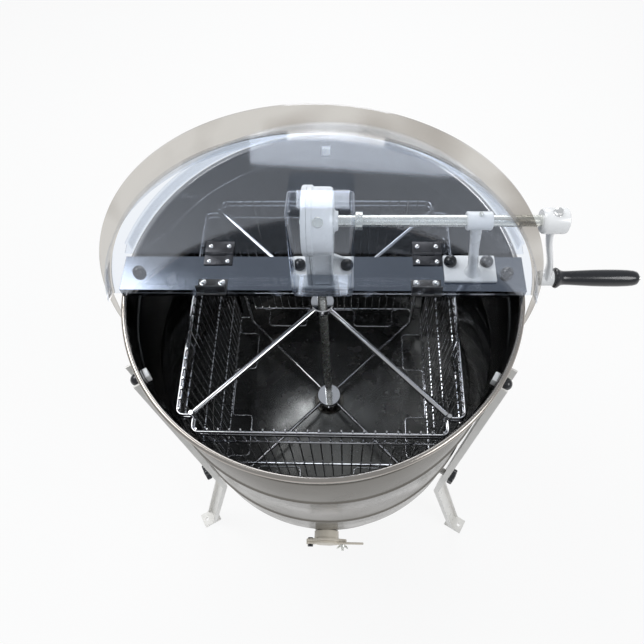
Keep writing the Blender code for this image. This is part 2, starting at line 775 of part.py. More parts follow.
def star_knob(name, seat, outward, stud_length):
    """A lobed hand knob on a round hub, with its stud."""
    ring = STAR_LOBES * 4
    outline = []
    for i in range(ring):
        angle = FULL_TURN * i / ring
        swell = (1 + math.cos(STAR_LOBES * angle)) / 2
        radius = STAR_VALLEY + (STAR_RADIUS - STAR_VALLEY) * swell
        outline.append((radius * math.cos(angle), radius * math.sin(angle)))
    place = facing(Vector(seat) + Vector(outward) * GAP, outward)
    lift = Matrix.Translation((0, 0, STAR_HUB_LENGTH + STAR_THICKNESS / 2))
    star = plate(name, [outline], STAR_THICKNESS, place @ lift, BLACK_PLASTIC)
    stem = [
        (0, STAR_HUB_LENGTH + STAR_THICKNESS / 2),
        (STAR_HUB_RADIUS, STAR_HUB_LENGTH + STAR_THICKNESS / 2),
        (STAR_HUB_RADIUS, 0),
        (LEG_STUD_RADIUS, 0),
        (LEG_STUD_RADIUS, -stud_length),
        (0, -stud_length),
    ]
    return join(star, turned(f"{name}_stem", stem, place, sides=SMALL_SIDES))


def make_leg_knobs():
    seat = LEG_RADIUS + LEG_SHEET
    for side, azimuth in LEG_AZIMUTHS.items():
        outward = around(azimuth, 1, 0)
        upper = around(azimuth, seat, RIM_HEIGHT - LEG_UPPER_BOLT_DROP)
        lower = around(azimuth, seat, RIM_HEIGHT - LEG_LOWER_BOLT_DROP)
        upper_stud = seat - wall_radius(LEG_UPPER_BOLT_DROP) + LEG_STUD_INSIDE
        lower_stud = seat - wall_radius(LEG_LOWER_BOLT_DROP) + LEG_STUD_INSIDE
        dome_knob(f"leg_cap_knob_{side}", upper, outward, LEG_STUD_RADIUS, upper_stud)
        star_knob(f"leg_star_knob_{side}", lower, outward, lower_stud)


# Bridge bar and what is bolted to it


def make_bridge_bar():
    low = RIM_HEIGHT + GAP
    bar = block(
        "bridge_bar",
        (-BAR_HALF_LENGTH, -BAR_HALF_WIDTH, low),
        (BAR_HALF_LENGTH, BAR_HALF_WIDTH, BAR_TOP),
        POLISHED,
    )
    inner = BAR_HALF_WIDTH - BAR_SHEET
    hollow = block(
        "bar_hollow",
        (-BAR_HALF_LENGTH - CUT_OVERRUN, -inner, low - CUT_OVERRUN),
        (BAR_HALF_LENGTH + CUT_OVERRUN, inner, BAR_TOP - BAR_SHEET),
    )
    cut(bar, hollow)
    hole(bar, (0, 0, BAR_TOP - BAR_SHEET), (0, 0, BAR_TOP), BAR_BORE_RADIUS, MEDIUM_SIDES)
    for x, y in bar_stud_places():
        hole(bar, (x, y, BAR_TOP - BAR_SHEET), (x, y, BAR_TOP), STUD_HOLE_RADIUS)
    return bar


def bar_stud_places():
    return (
        (-BAR_KNOB_X, 0),
        (BAR_KNOB_X, 0),
        (GEARBOX_KNOB_LEFT_X, GEARBOX_KNOB_Y),
        (GEARBOX_KNOB_RIGHT_X, GEARBOX_KNOB_Y),
        (BRACKET_KNOB_LEFT_X, BRACKET_KNOB_Y),
        (BRACKET_KNOB_RIGHT_X, BRACKET_KNOB_Y),
    )


def make_bar_knobs():
    up = (0, 0, 1)
    through = BAR_HEIGHT + BAR_SHELF_DROP + BAR_SHELF_THICKNESS
    for side, x in (("left", -BAR_KNOB_X), ("right", BAR_KNOB_X)):
        dome_knob(f"bar_end_knob_{side}", (x, 0, BAR_TOP), up, STUD_RADIUS, through)
    flange_top = BAR_TOP + GAP + FLANGE_THICKNESS
    clamp = FLANGE_THICKNESS + BAR_SHEET + CUT_OVERRUN
    for side, x in (("left", GEARBOX_KNOB_LEFT_X), ("right", GEARBOX_KNOB_RIGHT_X)):
        dome_knob(f"gearbox_knob_{side}", (x, GEARBOX_KNOB_Y, flange_top), up, STUD_RADIUS, clamp)
    base_top = BAR_TOP + GAP + BRACKET_BASE_THICKNESS
    clamp = BRACKET_BASE_THICKNESS + BAR_SHEET + CUT_OVERRUN
    for side, x in (("left", BRACKET_KNOB_LEFT_X), ("right", BRACKET_KNOB_RIGHT_X)):
        dome_knob(f"bracket_knob_{side}", (x, BRACKET_KNOB_Y, base_top), up, STUD_RADIUS, clamp)


def case_half(name, low_x, high_x):
    """One shell of the gearbox: the whole casting, cut to its side of the split."""
    axis = Vector((0, 0, AXIS_HEIGHT))
    bottom = BAR_TOP + GAP
    case = rod(
        name,
        axis + Vector((CASE_LEFT_X, 0, 0)),
        axis + Vector((CASE_RIGHT_X, 0, 0)),
        CASE_RADIUS,
        WHITE_ENAMEL,
        LARGE_SIDES,
    )
    neck = block(
        f"{name}_neck",
        (CASE_NECK_LEFT_X, -CASE_NECK_HALF_DEPTH, bottom + FLANGE_THICKNESS / 2),
        (CASE_RIGHT_X - CASE_BEVEL, CASE_NECK_HALF_DEPTH, AXIS_HEIGHT - CASE_RADIUS / 2),
    )
    flange = block(
        f"{name}_flange",
        (FLANGE_LEFT_X, FLANGE_FRONT_Y, bottom),
        (FLANGE_RIGHT_X, FLANGE_REAR_Y, bottom + FLANGE_THICKNESS),
    )
    boss = rod(
        f"{name}_boss",
        axis + Vector((CASE_RIGHT_X - CASE_WALL, 0, 0)),
        axis + Vector((CASE_RIGHT_X + BOSS_LENGTH, 0, 0)),
        BOSS_RADIUS,
        sides=MEDIUM_SIDES,
    )
    join(case, neck, flange, boss)
    hollow = rod(
        f"{name}_hollow",
        axis + Vector((CASE_LEFT_X + CASE_WALL, 0, 0)),
        axis + Vector((CASE_RIGHT_X - CASE_WALL, 0, 0)),
        CASE_RADIUS - CASE_WALL,
        sides=LARGE_SIDES,
    )
    cut(case, hollow)
    well_top = axis - Vector((0, 0, CASE_RADIUS - 2 * CASE_WALL))
    hole(case, (0, 0, bottom), well_top, BUSH_RADIUS, MEDIUM_SIDES)
    right = axis + Vector((CASE_RIGHT_X + BOSS_LENGTH, 0, 0))
    hole(case, axis, right, SHAFT_RADIUS + SHAFT_CLEARANCE, MEDIUM_SIDES)
    for x in (GEARBOX_KNOB_LEFT_X, GEARBOX_KNOB_RIGHT_X):
        start = (x, GEARBOX_KNOB_Y, bottom)
        hole(case, start, (x, GEARBOX_KNOB_Y, bottom + FLANGE_THICKNESS), STUD_HOLE_RADIUS)
    wide = CASE_RADIUS + CUT_OVERRUN
    keep = block(
        f"{name}_keep",
        (low_x, -wide, RIM_HEIGHT),
        (high_x, wide, AXIS_HEIGHT + wide),
    )
    return boolean(case, keep, "INTERSECT")


def make_gearbox():
    beyond = CUT_OVERRUN
    case_half("gearbox_housing", CASE_SPLIT_X + GAP / 2, FLANGE_RIGHT_X + beyond)
    case_half("gearbox_cover", FLANGE_LEFT_X - beyond, CASE_SPLIT_X - GAP / 2)
    bush = [
        (CAGE_SHAFT_RADIUS + SHAFT_CLEARANCE, RIM_HEIGHT + BUSH_TOP),
        (BUSH_RADIUS - GAP, RIM_HEIGHT + BUSH_TOP),
        (BUSH_RADIUS - GAP, BAR_TOP - BAR_SHEET),
        (CAGE_SHAFT_RADIUS + SHAFT_CLEARANCE, BAR_TOP - BAR_SHEET),
    ]
    turned("shaft_bush", bush, Matrix(), BRONZE, ring=True)


def make_bracket():
    """The white bracket: a base on the bar, a stem and a boss round the crank shaft."""
    base_low = BAR_TOP + GAP
    bracket = rod(
        "shaft_bracket",
        (BRACKET_BOSS_LEFT_X, 0, AXIS_HEIGHT),
        (BRACKET_BOSS_RIGHT_X, 0, AXIS_HEIGHT),
        BRACKET_BOSS_RADIUS,
        WHITE_ENAMEL,
        MEDIUM_SIDES,
    )
    stem = block(
        "bracket_stem",
        (BRACKET_STEM_LEFT_X, -BRACKET_STEM_HALF_DEPTH, base_low + BRACKET_BASE_THICKNESS / 2),
        (BRACKET_STEM_LEFT_X + BRACKET_STEM_WIDTH, BRACKET_STEM_HALF_DEPTH, AXIS_HEIGHT),
    )
    base = block(
        "bracket_base",
        (BRACKET_BASE_LEFT_X, BRACKET_BASE_FRONT_Y, base_low),
        (BRACKET_BASE_RIGHT_X, BRACKET_BASE_REAR_Y, base_low + BRACKET_BASE_THICKNESS),
    )
    join(bracket, stem, base)
    hole(
        bracket,
        (BRACKET_BOSS_LEFT_X, 0, AXIS_HEIGHT),
        (BRACKET_BOSS_RIGHT_X, 0, AXIS_HEIGHT),
        SHAFT_RADIUS + SHAFT_CLEARANCE,
        MEDIUM_SIDES,
    )
    for x in (BRACKET_KNOB_LEFT_X, BRACKET_KNOB_RIGHT_X):
        start = (x, BRACKET_KNOB_Y, base_low)
        end = (x, BRACKET_KNOB_Y, base_low + BRACKET_BASE_THICKNESS)
        hole(bracket, start, end, STUD_HOLE_RADIUS)
    return bracket


# Bevel gears


def involute(angle):
    return math.tan(angle) - angle


def tooth_flank(teeth, pitch_angle):
    """Half a tooth as (cone angle, half thickness angle), from the root to the tip.

    The profile is an involute on the back cone, unrolled as the virtual spur gear.
    """
    pitch_radius = GEAR_MODULE * teeth / 2
    virtual = pitch_radius / math.cos(pitch_angle)
    base = virtual * math.cos(PRESSURE_ANGLE)
    half_pitch = (math.pi * GEAR_MODULE / 2 - BACKLASH) / (2 * virtual)
    root = virtual - DEDENDUM_SHARE * GEAR_MODULE
    tip = virtual + ADDENDUM_SHARE * GEAR_MODULE
    flank = []
    for radius in (root, virtual, tip):
        pressure = math.acos(min(1, base / max(radius, base)))
        half = half_pitch + involute(PRESSURE_ANGLE) - involute(pressure)
        cone = pitch_angle + math.atan2(radius - virtual, CONE_DISTANCE)
        flank.append((cone, half * virtual / pitch_radius))
    return flank


def gear_ring(work, teeth, pitch_angle, distance, turn):
    """One loop of tooth outlines on the pitch cone, at a distance from the apex."""
    flank = tooth_flank(teeth, pitch_angle)
    loop = []
    for tooth in range(teeth):
        middle = FULL_TURN * tooth / teeth + turn
        sides = [(cone, middle - half) for cone, half in flank]
        sides += [(cone, middle + half) for cone, half in reversed(flank)]
        for cone, angle in sides:
            radius = distance * math.sin(cone)
            place = (radius * math.cos(angle), radius * math.sin(angle), distance * math.cos(cone))
            loop.append(work.verts.new(place))
    return loop


def plain_ring(work, teeth, radius, height, turn):
    """A circle with one point on each tooth's middle line."""
    angles = [FULL_TURN * tooth / teeth + turn for tooth in range(teeth)]
    return [work.verts.new((radius * math.cos(a), radius * math.sin(a), height)) for a in angles]


def bridge(work, outer, inner):
    """Faces between a loop and a ring that has one point for each tooth of the loop."""
    share = len(outer) // len(inner)
    for i, hub in enumerate(inner):
        mates = [outer[(share * i + k) % len(outer)] for k in range(share + 1)]
        for first, second in zip(mates, mates[1:]):
            work.faces.new((first, second, hub))
        work.faces.new((mates[-1], inner[(i + 1) % len(inner)], hub))


def bevel_gear(name, teeth, pitch_angle, place, turn, bore, hub_radius, hub_length):
    """A bevel gear bored right through: its apex at the origin and its hub along +Z."""
    work = bmesh.new()
    small, large = CONE_DISTANCE - GEAR_FACE, CONE_DISTANCE
    near = gear_ring(work, teeth, pitch_angle, small, turn)
    far = gear_ring(work, teeth, pitch_angle, large, turn)
    back = large * math.cos(pitch_angle)
    front_bore = plain_ring(work, teeth, bore, small * math.cos(pitch_angle), turn)
    root = plain_ring(work, teeth, hub_radius, back, turn)
    rim = plain_ring(work, teeth, hub_radius, back + hub_length, turn)
    back_bore = plain_ring(work, teeth, bore, back + hub_length, turn)
    bridge(work, near, front_bore)
    bridge(work, far, root)
    for first, second in ((near, far), (root, rim), (rim, back_bore), (back_bore, front_bore)):
        for i, vert in enumerate(first):
            j = (i + 1) % len(first)
            work.faces.new((vert, first[j], second[j], second[i]))
    gear = mesh_object(name, work, GEAR_STEEL)
    gear.matrix_world = place
    return gear


def make_pinion():
    """The pinion hangs point up below the crank shaft, on the cage shaft's end."""
    return bevel_gear(
        "drive_pinion",
        PINION_TEETH,
        PITCH_ANGLE_PINION,
        Matrix.Translation((0, 0, AXIS_HEIGHT)) @ Matrix.Rotation(math.pi, 4, "X"),
        0,
        PINION_BORE_RADIUS + GAP,
        PINION_HUB_RADIUS,
        PINION_HUB_LENGTH,
    )


def make_wheel():
    """The wheel sits on the crank shaft to the right of the pinion."""
    return bevel_gear(
        "drive_wheel",
        WHEEL_TEETH,
        PITCH_ANGLE_WHEEL,
        Matrix.Translation((0, 0, AXIS_HEIGHT)) @ Matrix.Rotation(QUARTER_TURN, 4, "Y"),
        math.pi / WHEEL_TEETH,
        SHAFT_RADIUS + GAP,
        WHEEL_HUB_RADIUS,
        WHEEL_HUB_LENGTH,
    )


# Crank


def make_crank_shaft():
    """The shaft with the collar that is clamped on it beside the gearbox."""
    shaft = rod(
        "crank_shaft",
        (SHAFT_LEFT_X, 0, AXIS_HEIGHT),
        (CRANK_HUB_RIGHT_X - CASE_WALL, 0, AXIS_HEIGHT),
        SHAFT_RADIUS,
        PLATED,
        MEDIUM_SIDES,
    )

    left = CASE_RIGHT_X + BOSS_LENGTH + GAP
    start, end = (left, 0, AXIS_HEIGHT), (left + COLLAR_WIDTH, 0, AXIS_HEIGHT)
    return join(shaft, rod("shaft_collar", start, end, COLLAR_RADIUS, sides=MEDIUM_SIDES))


def make_crank_arm():
    """The cast arm: a hub, an S-bent web and a boss with the grip's spindle fast in it."""
    hub_x = (CRANK_HUB_LEFT_X + CRANK_HUB_RIGHT_X) / 2
    boss_x = (CRANK_BOSS_LEFT_X + CRANK_BOSS_RIGHT_X) / 2
    arm = rod(
        "crank_arm",
        (CRANK_HUB_LEFT_X, 0, AXIS_HEIGHT),
        (CRANK_HUB_RIGHT_X, 0, AXIS_HEIGHT),
        CRANK_HUB_RADIUS,
        WHITE_ENAMEL,
        MEDIUM_SIDES,
    )
    shares = [i / (CRANK_ARM_STATIONS - 1) for i in range(CRANK_ARM_STATIONS)]
    middle = []
    for share in shares:
        sway = (1 - math.cos(math.pi * share)) / 2
        middle.append((hub_x + (boss_x - hub_x) * sway, AXIS_HEIGHT - CRANK_DROP * share))
    half = CRANK_ARM_THICKNESS / 2
    edge = [(x - half, z) for x, z in middle] + [(x + half, z) for x, z in reversed(middle)]
    standing = Matrix.Rotation(QUARTER_TURN, 4, "X")
    web = plate("crank_web", [edge], 2 * CRANK_ARM_HALF_WIDTH, standing)
    boss = rod(
        "crank_boss",
        (CRANK_BOSS_LEFT_X, 0, CRANK_GRIP_HEIGHT),
        (CRANK_BOSS_RIGHT_X, 0, CRANK_GRIP_HEIGHT),
        CRANK_BOSS_RADIUS,
        sides=MEDIUM_SIDES,
    )
    join(arm, web, boss, spindle())
    hub_end = (CRANK_HUB_RIGHT_X - CASE_WALL - CUT_OVERRUN + GAP, 0, AXIS_HEIGHT)
    return hole(arm, (CRANK_HUB_LEFT_X, 0, AXIS_HEIGHT), hub_end, SHAFT_RADIUS + GAP, MEDIUM_SIDES)


def grip_place():
    """The frame at the grip's inner end, with its z along the spindle."""
    return facing((CRANK_BOSS_RIGHT_X + GAP, 0, CRANK_GRIP_HEIGHT), (1, 0, 0))


def spindle():
    """The grip's pin, from the middle of the boss to the head that keeps the grip on."""
    back = (CRANK_BOSS_LEFT_X - CRANK_BOSS_RIGHT_X) / 2
    head = GRIP_LENGTH + GAP
    pin = [
        (0, head + SPINDLE_HEAD_LENGTH),
        (SPINDLE_RADIUS, head + SPINDLE_HEAD_LENGTH),
        (SPINDLE_RADIUS + GAP, head),
        (SPINDLE_RADIUS, head),
        (SPINDLE_RADIUS, back),
        (0, back),
    ]
    return turned("grip_spindle", pin, grip_place(), sides=SMALL_SIDES)


def make_grip():
    """The turned grip, which spins on the spindle."""
    bore = SPINDLE_RADIUS + SHAFT_CLEARANCE
    swell = 0.5
    profile = [
        (bore, GRIP_LENGTH),
        (GRIP_WAIST_RADIUS * swell, GRIP_LENGTH),
        (GRIP_WAIST_RADIUS, GRIP_LENGTH - GRIP_COLLAR_LENGTH * swell),
        (GRIP_RADIUS, GRIP_LENGTH - GRIP_COLLAR_LENGTH * 2),
        (GRIP_RADIUS, GRIP_LENGTH * swell),
        (GRIP_WAIST_RADIUS, GRIP_COLLAR_LENGTH * 2),
        (GRIP_COLLAR_RADIUS, GRIP_COLLAR_LENGTH * swell),
        (GRIP_COLLAR_RADIUS * (1 + swell) / 2, 0),
        (bore, 0),
    ]
    return turned("crank_grip", profile, grip_place(), BLACK_PLASTIC, ring=True)


# Cage


def make_cage_shaft():
    step = AXIS_HEIGHT - WHEEL_PITCH_RADIUS - PINION_HUB_LENGTH - GAP
    top = AXIS_HEIGHT - WHEEL_PITCH_RADIUS + GEAR_FACE
    profile = [
        (0, top),
        (PINION_BORE_RADIUS, top),
        (PINION_BORE_RADIUS, step),
        (CAGE_SHAFT_RADIUS, step),
        (CAGE_SHAFT_RADIUS, FLOOR_HEIGHT + 2 * GAP + BEARING_FLOOR),
        (0, FLOOR_HEIGHT + 2 * GAP + BEARING_FLOOR),
    ]
    return turned("cage_shaft", profile, Matrix(), PLATED)


def make_spider(name, drop, hub_radius, arm_radius):
    """A hub on the cage shaft with four welded arms to the corner posts."""
    height = RIM_HEIGHT - drop
    bore = CAGE_SHAFT_RADIUS + GAP
    half = HUB_HEIGHT / 2
    profile = [
        (bore, height + half),
        (hub_radius, height + half),
        (hub_radius, height - half),
        (bore, height - half),
    ]
    spider = turned(name, profile, Matrix(), CHROME, ring=True)
    reach = CAGE_POST_REACH * math.sqrt(2) - CAGE_POST_RADIUS - GAP
    start = (hub_radius + bore) / 2
    for i in range(4):
        azimuth = QUARTER_TURN * (i + 1 / 2)
        arm = rod(
            f"{name}_arm_{i}",
            around(azimuth, start, height),
            around(azimuth, reach, height),
            arm_radius,
        )
        join(spider, arm)
    return spider


def make_post(name, corner):
    """A corner post with the hooked wires that hold the two grids beside it."""
    reach, bend = CAGE_POST_REACH, GRID_REACH - CAGE_POST_REACH
    high, low = RIM_HEIGHT - UPPER_ARM_DROP + POST_END, RIM_HEIGHT - LOWER_ARM_DROP - POST_END
    post = rod(name, (reach, reach, low), (reach, reach, high), CAGE_POST_RADIUS, CHROME)
    end = GRID_HALF_LENGTH + GAP
    for level, drop in enumerate((RAIL_DROPS[0], RAIL_DROPS[-1])):
        height = RIM_HEIGHT - drop
        route = [
            (reach, reach),
            (reach, reach + bend * 3 / 4),
            (reach - (reach - end) / 2, GRID_REACH),
            (end, GRID_REACH),
        ]
        for side in range(2):
            points = [(y, x, height) if side else (x, y, height) for x, y in route]
            join(post, wire(f"{name}_hook_{level}_{side}", points, HOOK_RADIUS))
    turn = Matrix.Rotation(QUARTER_TURN * corner, 4, "Z")
    post.matrix_world = turn @ post.matrix_world
    for helper in HELPERS.objects:
        if helper.name.startswith(f"{name}_hook"):
            helper.matrix_world = turn @ helper.matrix_world
    return post


def grid_outlines():
    """The grid's edge, and the openings between its upright wires and its rails."""
    half = GRID_HALF_LENGTH
    top, bottom = -RAIL_DROPS[0] + RAIL_HEIGHT / 2, -RAIL_DROPS[-1] - RAIL_HEIGHT / 2
    outlines = [[(-half, bottom), (half, bottom), (half, top), (-half, top)]]
    pitch = (2 * half - GRID_WIRE_WIDTH) / GRID_GAPS
    for gap in range(GRID_GAPS):
        left = -half + GRID_WIRE_WIDTH + pitch * gap
        right = left + pitch - GRID_WIRE_WIDTH
        for upper, lower in zip(RAIL_DROPS, RAIL_DROPS[1:]):
            high, low = -upper - RAIL_HEIGHT / 2, -lower + RAIL_HEIGHT / 2
            outlines.append([(left, low), (right, low), (right, high), (left, high)])
    return outlines


def make_grids():
    """Four wire grids on the outer faces of the cage, sharing one mesh."""
    upright = Matrix.Rotation(QUARTER_TURN, 4, "X")
    lift = Matrix.Translation((0, -GRID_REACH, RIM_HEIGHT))
    first = plate("front_grid", grid_outlines(), GRID_THICKNESS, lift @ upright, CHROME)
    grids = [first]
    for i, name in enumerate(("right_grid", "rear_grid", "left_grid"), start=1):
        grid = bpy.data.objects.new(name, first.data)
        grid.matrix_world = Matrix.Rotation(QUARTER_TURN * i, 4, "Z") @ first.matrix_world
        PARTS.objects.link(grid)
        grids.append(grid)
    return grids


def make_rest(name, quarter):
    """One bent wire with two loops that reach in under the frames, on the lowest rail."""
    face = -GRID_REACH + GRID_THICKNESS / 2 + REST_RADIUS + GAP
    height = RIM_HEIGHT - RAIL_DROPS[-1]
    inward = face + REST_REACH
    turn = REST_RADIUS * 3
    route = []
    for centre in (-REST_CENTRE, REST_CENTRE):
        left, right = centre - REST_HALF_WIDTH, centre + REST_HALF_WIDTH
        route += [
            (left - REST_TAIL, face),
            (left - turn, face),
            (left, face + turn),
            (left, inward - turn),
            (left + turn, inward),
            (right - turn, inward),
            (right, inward - turn),
            (right, face + turn),
            (right + turn, face),
            (right + REST_TAIL, face),
        ]
    rest = wire(name, [(x, y, height) for x, y in route], REST_RADIUS, CHROME)
    rest.matrix_world = Matrix.Rotation(QUARTER_TURN * quarter, 4, "Z")
    return rest


def make_cage():
    upper = make_spider("upper_spider", UPPER_ARM_DROP, UPPER_HUB_RADIUS, UPPER_ARM_RADIUS)
    lower = make_spider("lower_spider", LOWER_ARM_DROP, LOWER_HUB_RADIUS, LOWER_ARM_RADIUS)
    pieces = [make_cage_shaft(), make_pinion(), upper, lower]
    for i in range(4):
        pieces.append(make_post(f"corner_post_{i + 1}", i))
    pieces += make_grids()
    for i, side in enumerate(("front", "right", "rear", "left")):
        pieces.append(make_rest(f"{side}_frame_rest", i))
    carry(pivot("cage_axis", (0, 0, RIM_HEIGHT)), *pieces)


def make_crank():
    axis = pivot("crank_axis", (0, 0, AXIS_HEIGHT))
    carry(axis, make_crank_shaft(), make_wheel(), make_crank_arm())
    carry(pivot("grip_axis", (CRANK_BOSS_RIGHT_X, 0, CRANK_GRIP_HEIGHT)), make_grip())


# Hinges and lids


def bar_leaf(name, x, hinge_y, end_y, finish_used):
    """The leaf fixed on the bar, with its two outer knuckles and the peened pin."""
    low = BAR_TOP + GAP
    toward = 1 if end_y > hinge_y else -1
    leaf = block(
        name,
        (x - HINGE_HALF_WIDTH, min(hinge_y, end_y), low),
        (x + HINGE_HALF_WIDTH, max(hinge_y, end_y), low + HINGE_LEAF),
        finish_used,
    )
    clear = HINGE_KNUCKLE_HALF_WIDTH + GAP
    edge = hinge_y + toward * (HINGE_BARREL_RADIUS + GAP)
    notch = block(
        f"{name}_notch",
        (x - clear, min(edge, edge - toward * HINGE_HALF_WIDTH), low - CUT_OVERRUN),
        (x + clear, max(edge, edge - toward * HINGE_HALF_WIDTH), low + CUT_OVERRUN),
    )
    cut(leaf, notch)
    pin = rod(
        f"{name}_pin",
        (x - HINGE_HALF_WIDTH, hinge_y, HINGE_LEVEL),
        (x + HINGE_HALF_WIDTH, hinge_y, HINGE_LEVEL),
        HINGE_PIN_RADIUS,
    )
    join(leaf, pin)
    for side in (-1, 1):
        inner, outer = x + side * clear, x + side * (HINGE_HALF_WIDTH - GAP)
        knuckle = rod(
            f"{name}_knuckle_{side}",
            (min(inner, outer), hinge_y, HINGE_LEVEL),
            (max(inner, outer), hinge_y, HINGE_LEVEL),
            HINGE_BARREL_RADIUS,
        )
        join(leaf, knuckle)
    return leaf


def lid_leaf(name, x, hinge_y, length, finish_used):
    """The leaf on top of the lid, as it lies with the lid closed, with its knuckle."""
    low = HINGE_LEVEL - HINGE_LEAF / 2
    away = 1 if hinge_y > 0 else -1
    edge = hinge_y + away * (HINGE_BARREL_RADIUS + GAP)
    far = hinge_y + away * length
    leaf = block(
        name,
        (x - HINGE_HALF_WIDTH, min(edge, far), low),
        (x + HINGE_HALF_WIDTH, max(edge, far), low + HINGE_LEAF),
        finish_used,
    )
    tongue = block(
        f"{name}_tongue",
        (x - HINGE_KNUCKLE_HALF_WIDTH, min(hinge_y, far), low),
        (x + HINGE_KNUCKLE_HALF_WIDTH, max(hinge_y, far), low + HINGE_LEAF),
    )
    start = (x - HINGE_KNUCKLE_HALF_WIDTH, hinge_y, HINGE_LEVEL)
    end = (x + HINGE_KNUCKLE_HALF_WIDTH, hinge_y, HINGE_LEVEL)
    knuckle = rod(f"{name}_knuckle", start, end, HINGE_BARREL_RADIUS)
    join(leaf, tongue, knuckle)
    return hole(leaf, start, end, HINGE_PIN_RADIUS + SHAFT_CLEARANCE)


def skirt(name, first, last, top, steps):
    """A curved lip below a lid's edge, between two azimuths."""
    inner, outer = LID_SKIRT_RADIUS, LID_SKIRT_RADIUS + LID_SKIRT_SHEET
    outline = arc(outer, first, last, steps) + arc(inner, last, first, steps)
    sink = LID_SHEET / 2
    place = Matrix.Translation((0, 0, top + (sink - LID_SKIRT_DROP) / 2))
    return plate(name, [outline], LID_SKIRT_DROP + sink, place)


def front_lid_outline():
    """The front lid's edge as it lies closed: a segment with a brim and two narrow ears."""
    centre_y = -FRONT_LID_BRIM
    straight = FRONT_HINGE_Y - HINGE_BARREL_RADIUS - GAP - GAP
    ear = math.acos(FRONT_EAR_X / FRONT_LID_RADIUS)
    return arc(FRONT_LID_RADIUS, ear, -math.pi - ear, DRUM_SIDES // 2, (0, centre_y)) + [
        (-FRONT_EAR_X, straight),
        (FRONT_EAR_X, straight),
    ]


def make_front_lid():
    """The open front lid: sheet, lip and the pocket that clears the gearbox."""
    top = HINGE_LEVEL - LID_TOP_SINK
    middle = Matrix.Translation((0, 0, top - LID_SHEET / 2))
    lid = plate("front_lid", [front_lid_outline()], LID_SHEET, middle, CLEAR_SHEET)
    start = math.asin(-(FRONT_HINGE_Y - LID_EDGE_SETBACK) / LID_SKIRT_RADIUS)
    lip = skirt("front_lip", math.pi + start, FULL_TURN - start, top - LID_SHEET, DRUM_SIDES // 2)
    near, far = FRONT_HINGE_Y - POCKET_START, FRONT_HINGE_Y - POCKET_END
    floor = top - LID_SHEET - POCKET_DEPTH
    shell = block(
        "pocket_shell",
        (POCKET_LEFT_X - LID_SHEET, far - LID_SHEET, floor),
        (POCKET_RIGHT_X + LID_SHEET, near + LID_SHEET / 2, top - LID_SHEET / 2),
    )
    hollow = block(
        "pocket_hollow",
        (POCKET_LEFT_X, far, floor + LID_SHEET),
        (POCKET_RIGHT_X, near - LID_SHEET / 2, top + CUT_OVERRUN),
    )
    join(lid, lip, shell)
    cut(lid, hollow)
    leaves = [
        lid_leaf(f"front_lid_leaf_{side}", x, FRONT_HINGE_Y, FRONT_LID_LEAF_LENGTH, BLACK_PLATE)
        for side, x in (("left", FRONT_HINGE_LEFT_X), ("right", FRONT_HINGE_RIGHT_X))
    ]
    opening = Matrix.Rotation(LID_LEAN - math.pi, 4, "X")
    hinge = Matrix.Translation((0, FRONT_HINGE_Y, HINGE_LEVEL))
    swing = hinge @ opening @ hinge.inverted()
    helpers = ("front_lip", "pocket_", "front_lid_leaf_")
    moved = [lid, *leaves] + [h for h in HELPERS.objects if h.name.startswith(helpers)]
    for obj in moved:
        obj.matrix_world = swing @ obj.matrix_world
    carry(pivot("front_lid_axis", (0, FRONT_HINGE_Y, HINGE_LEVEL)), lid, *leaves)


def rear_lid_outline():
    """The rear lid's edge: a segment behind the bar, notched clear of the front lid's ears."""
    straight = REAR_HINGE_Y + HINGE_BARREL_RADIUS + GAP + GAP
    first = math.asin((REAR_NOTCH_Y + REAR_NOTCH_EASE) / REAR_LID_RADIUS)
    return arc(REAR_LID_RADIUS, first, math.pi - first, DRUM_SIDES // 2) + [
        (-REAR_NOTCH_X, REAR_NOTCH_Y),
        (-REAR_NOTCH_X, straight),
        (REAR_NOTCH_X, straight),
        (REAR_NOTCH_X, REAR_NOTCH_Y),
    ]


def make_rear_lid():
    """The closed rear lid with its lip."""
    top = HINGE_LEVEL - LID_TOP_SINK
    middle = Matrix.Translation((0, 0, top - LID_SHEET / 2))
    lid = plate("rear_lid", [rear_lid_outline()], LID_SHEET, middle, CLEAR_SHEET)
    start = math.asin((REAR_NOTCH_Y + LID_EDGE_SETBACK) / LID_SKIRT_RADIUS)
    join(lid, skirt("rear_lip", start, math.pi - start, top - LID_SHEET, DRUM_SIDES // 2))
    leaves = [
        lid_leaf(f"rear_lid_leaf_{side}", x, REAR_HINGE_Y, REAR_LID_LEAF_LENGTH, GREY_PLATE)
        for side, x in (("left", REAR_HINGE_LEFT_X), ("right", REAR_HINGE_RIGHT_X))
    ]
    carry(pivot("rear_lid_axis", (0, REAR_HINGE_Y, HINGE_LEVEL)), lid, *leaves)


def make_hinges():
    for side, x in (("left", FRONT_HINGE_LEFT_X), ("right", FRONT_HINGE_RIGHT_X)):
        bar_leaf(f"front_bar_leaf_{side}", x, FRONT_HINGE_Y, FRONT_BAR_LEAF_END_Y, BLACK_PLATE)
    for side, x in (("left", REAR_HINGE_LEFT_X), ("right", REAR_HINGE_RIGHT_X)):
        bar_leaf(f"rear_bar_leaf_{side}", x, REAR_HINGE_Y, REAR_BAR_LEAF_END_Y, GREY_PLATE)


# Honey gate


def gate_place(reach):
    """The gate's own frame: x to the right, y up and z out of the drum, at a reach."""
    return Matrix.Translation(outlet_place(reach)) @ Matrix.Rotation(QUARTER_TURN, 4, "X")


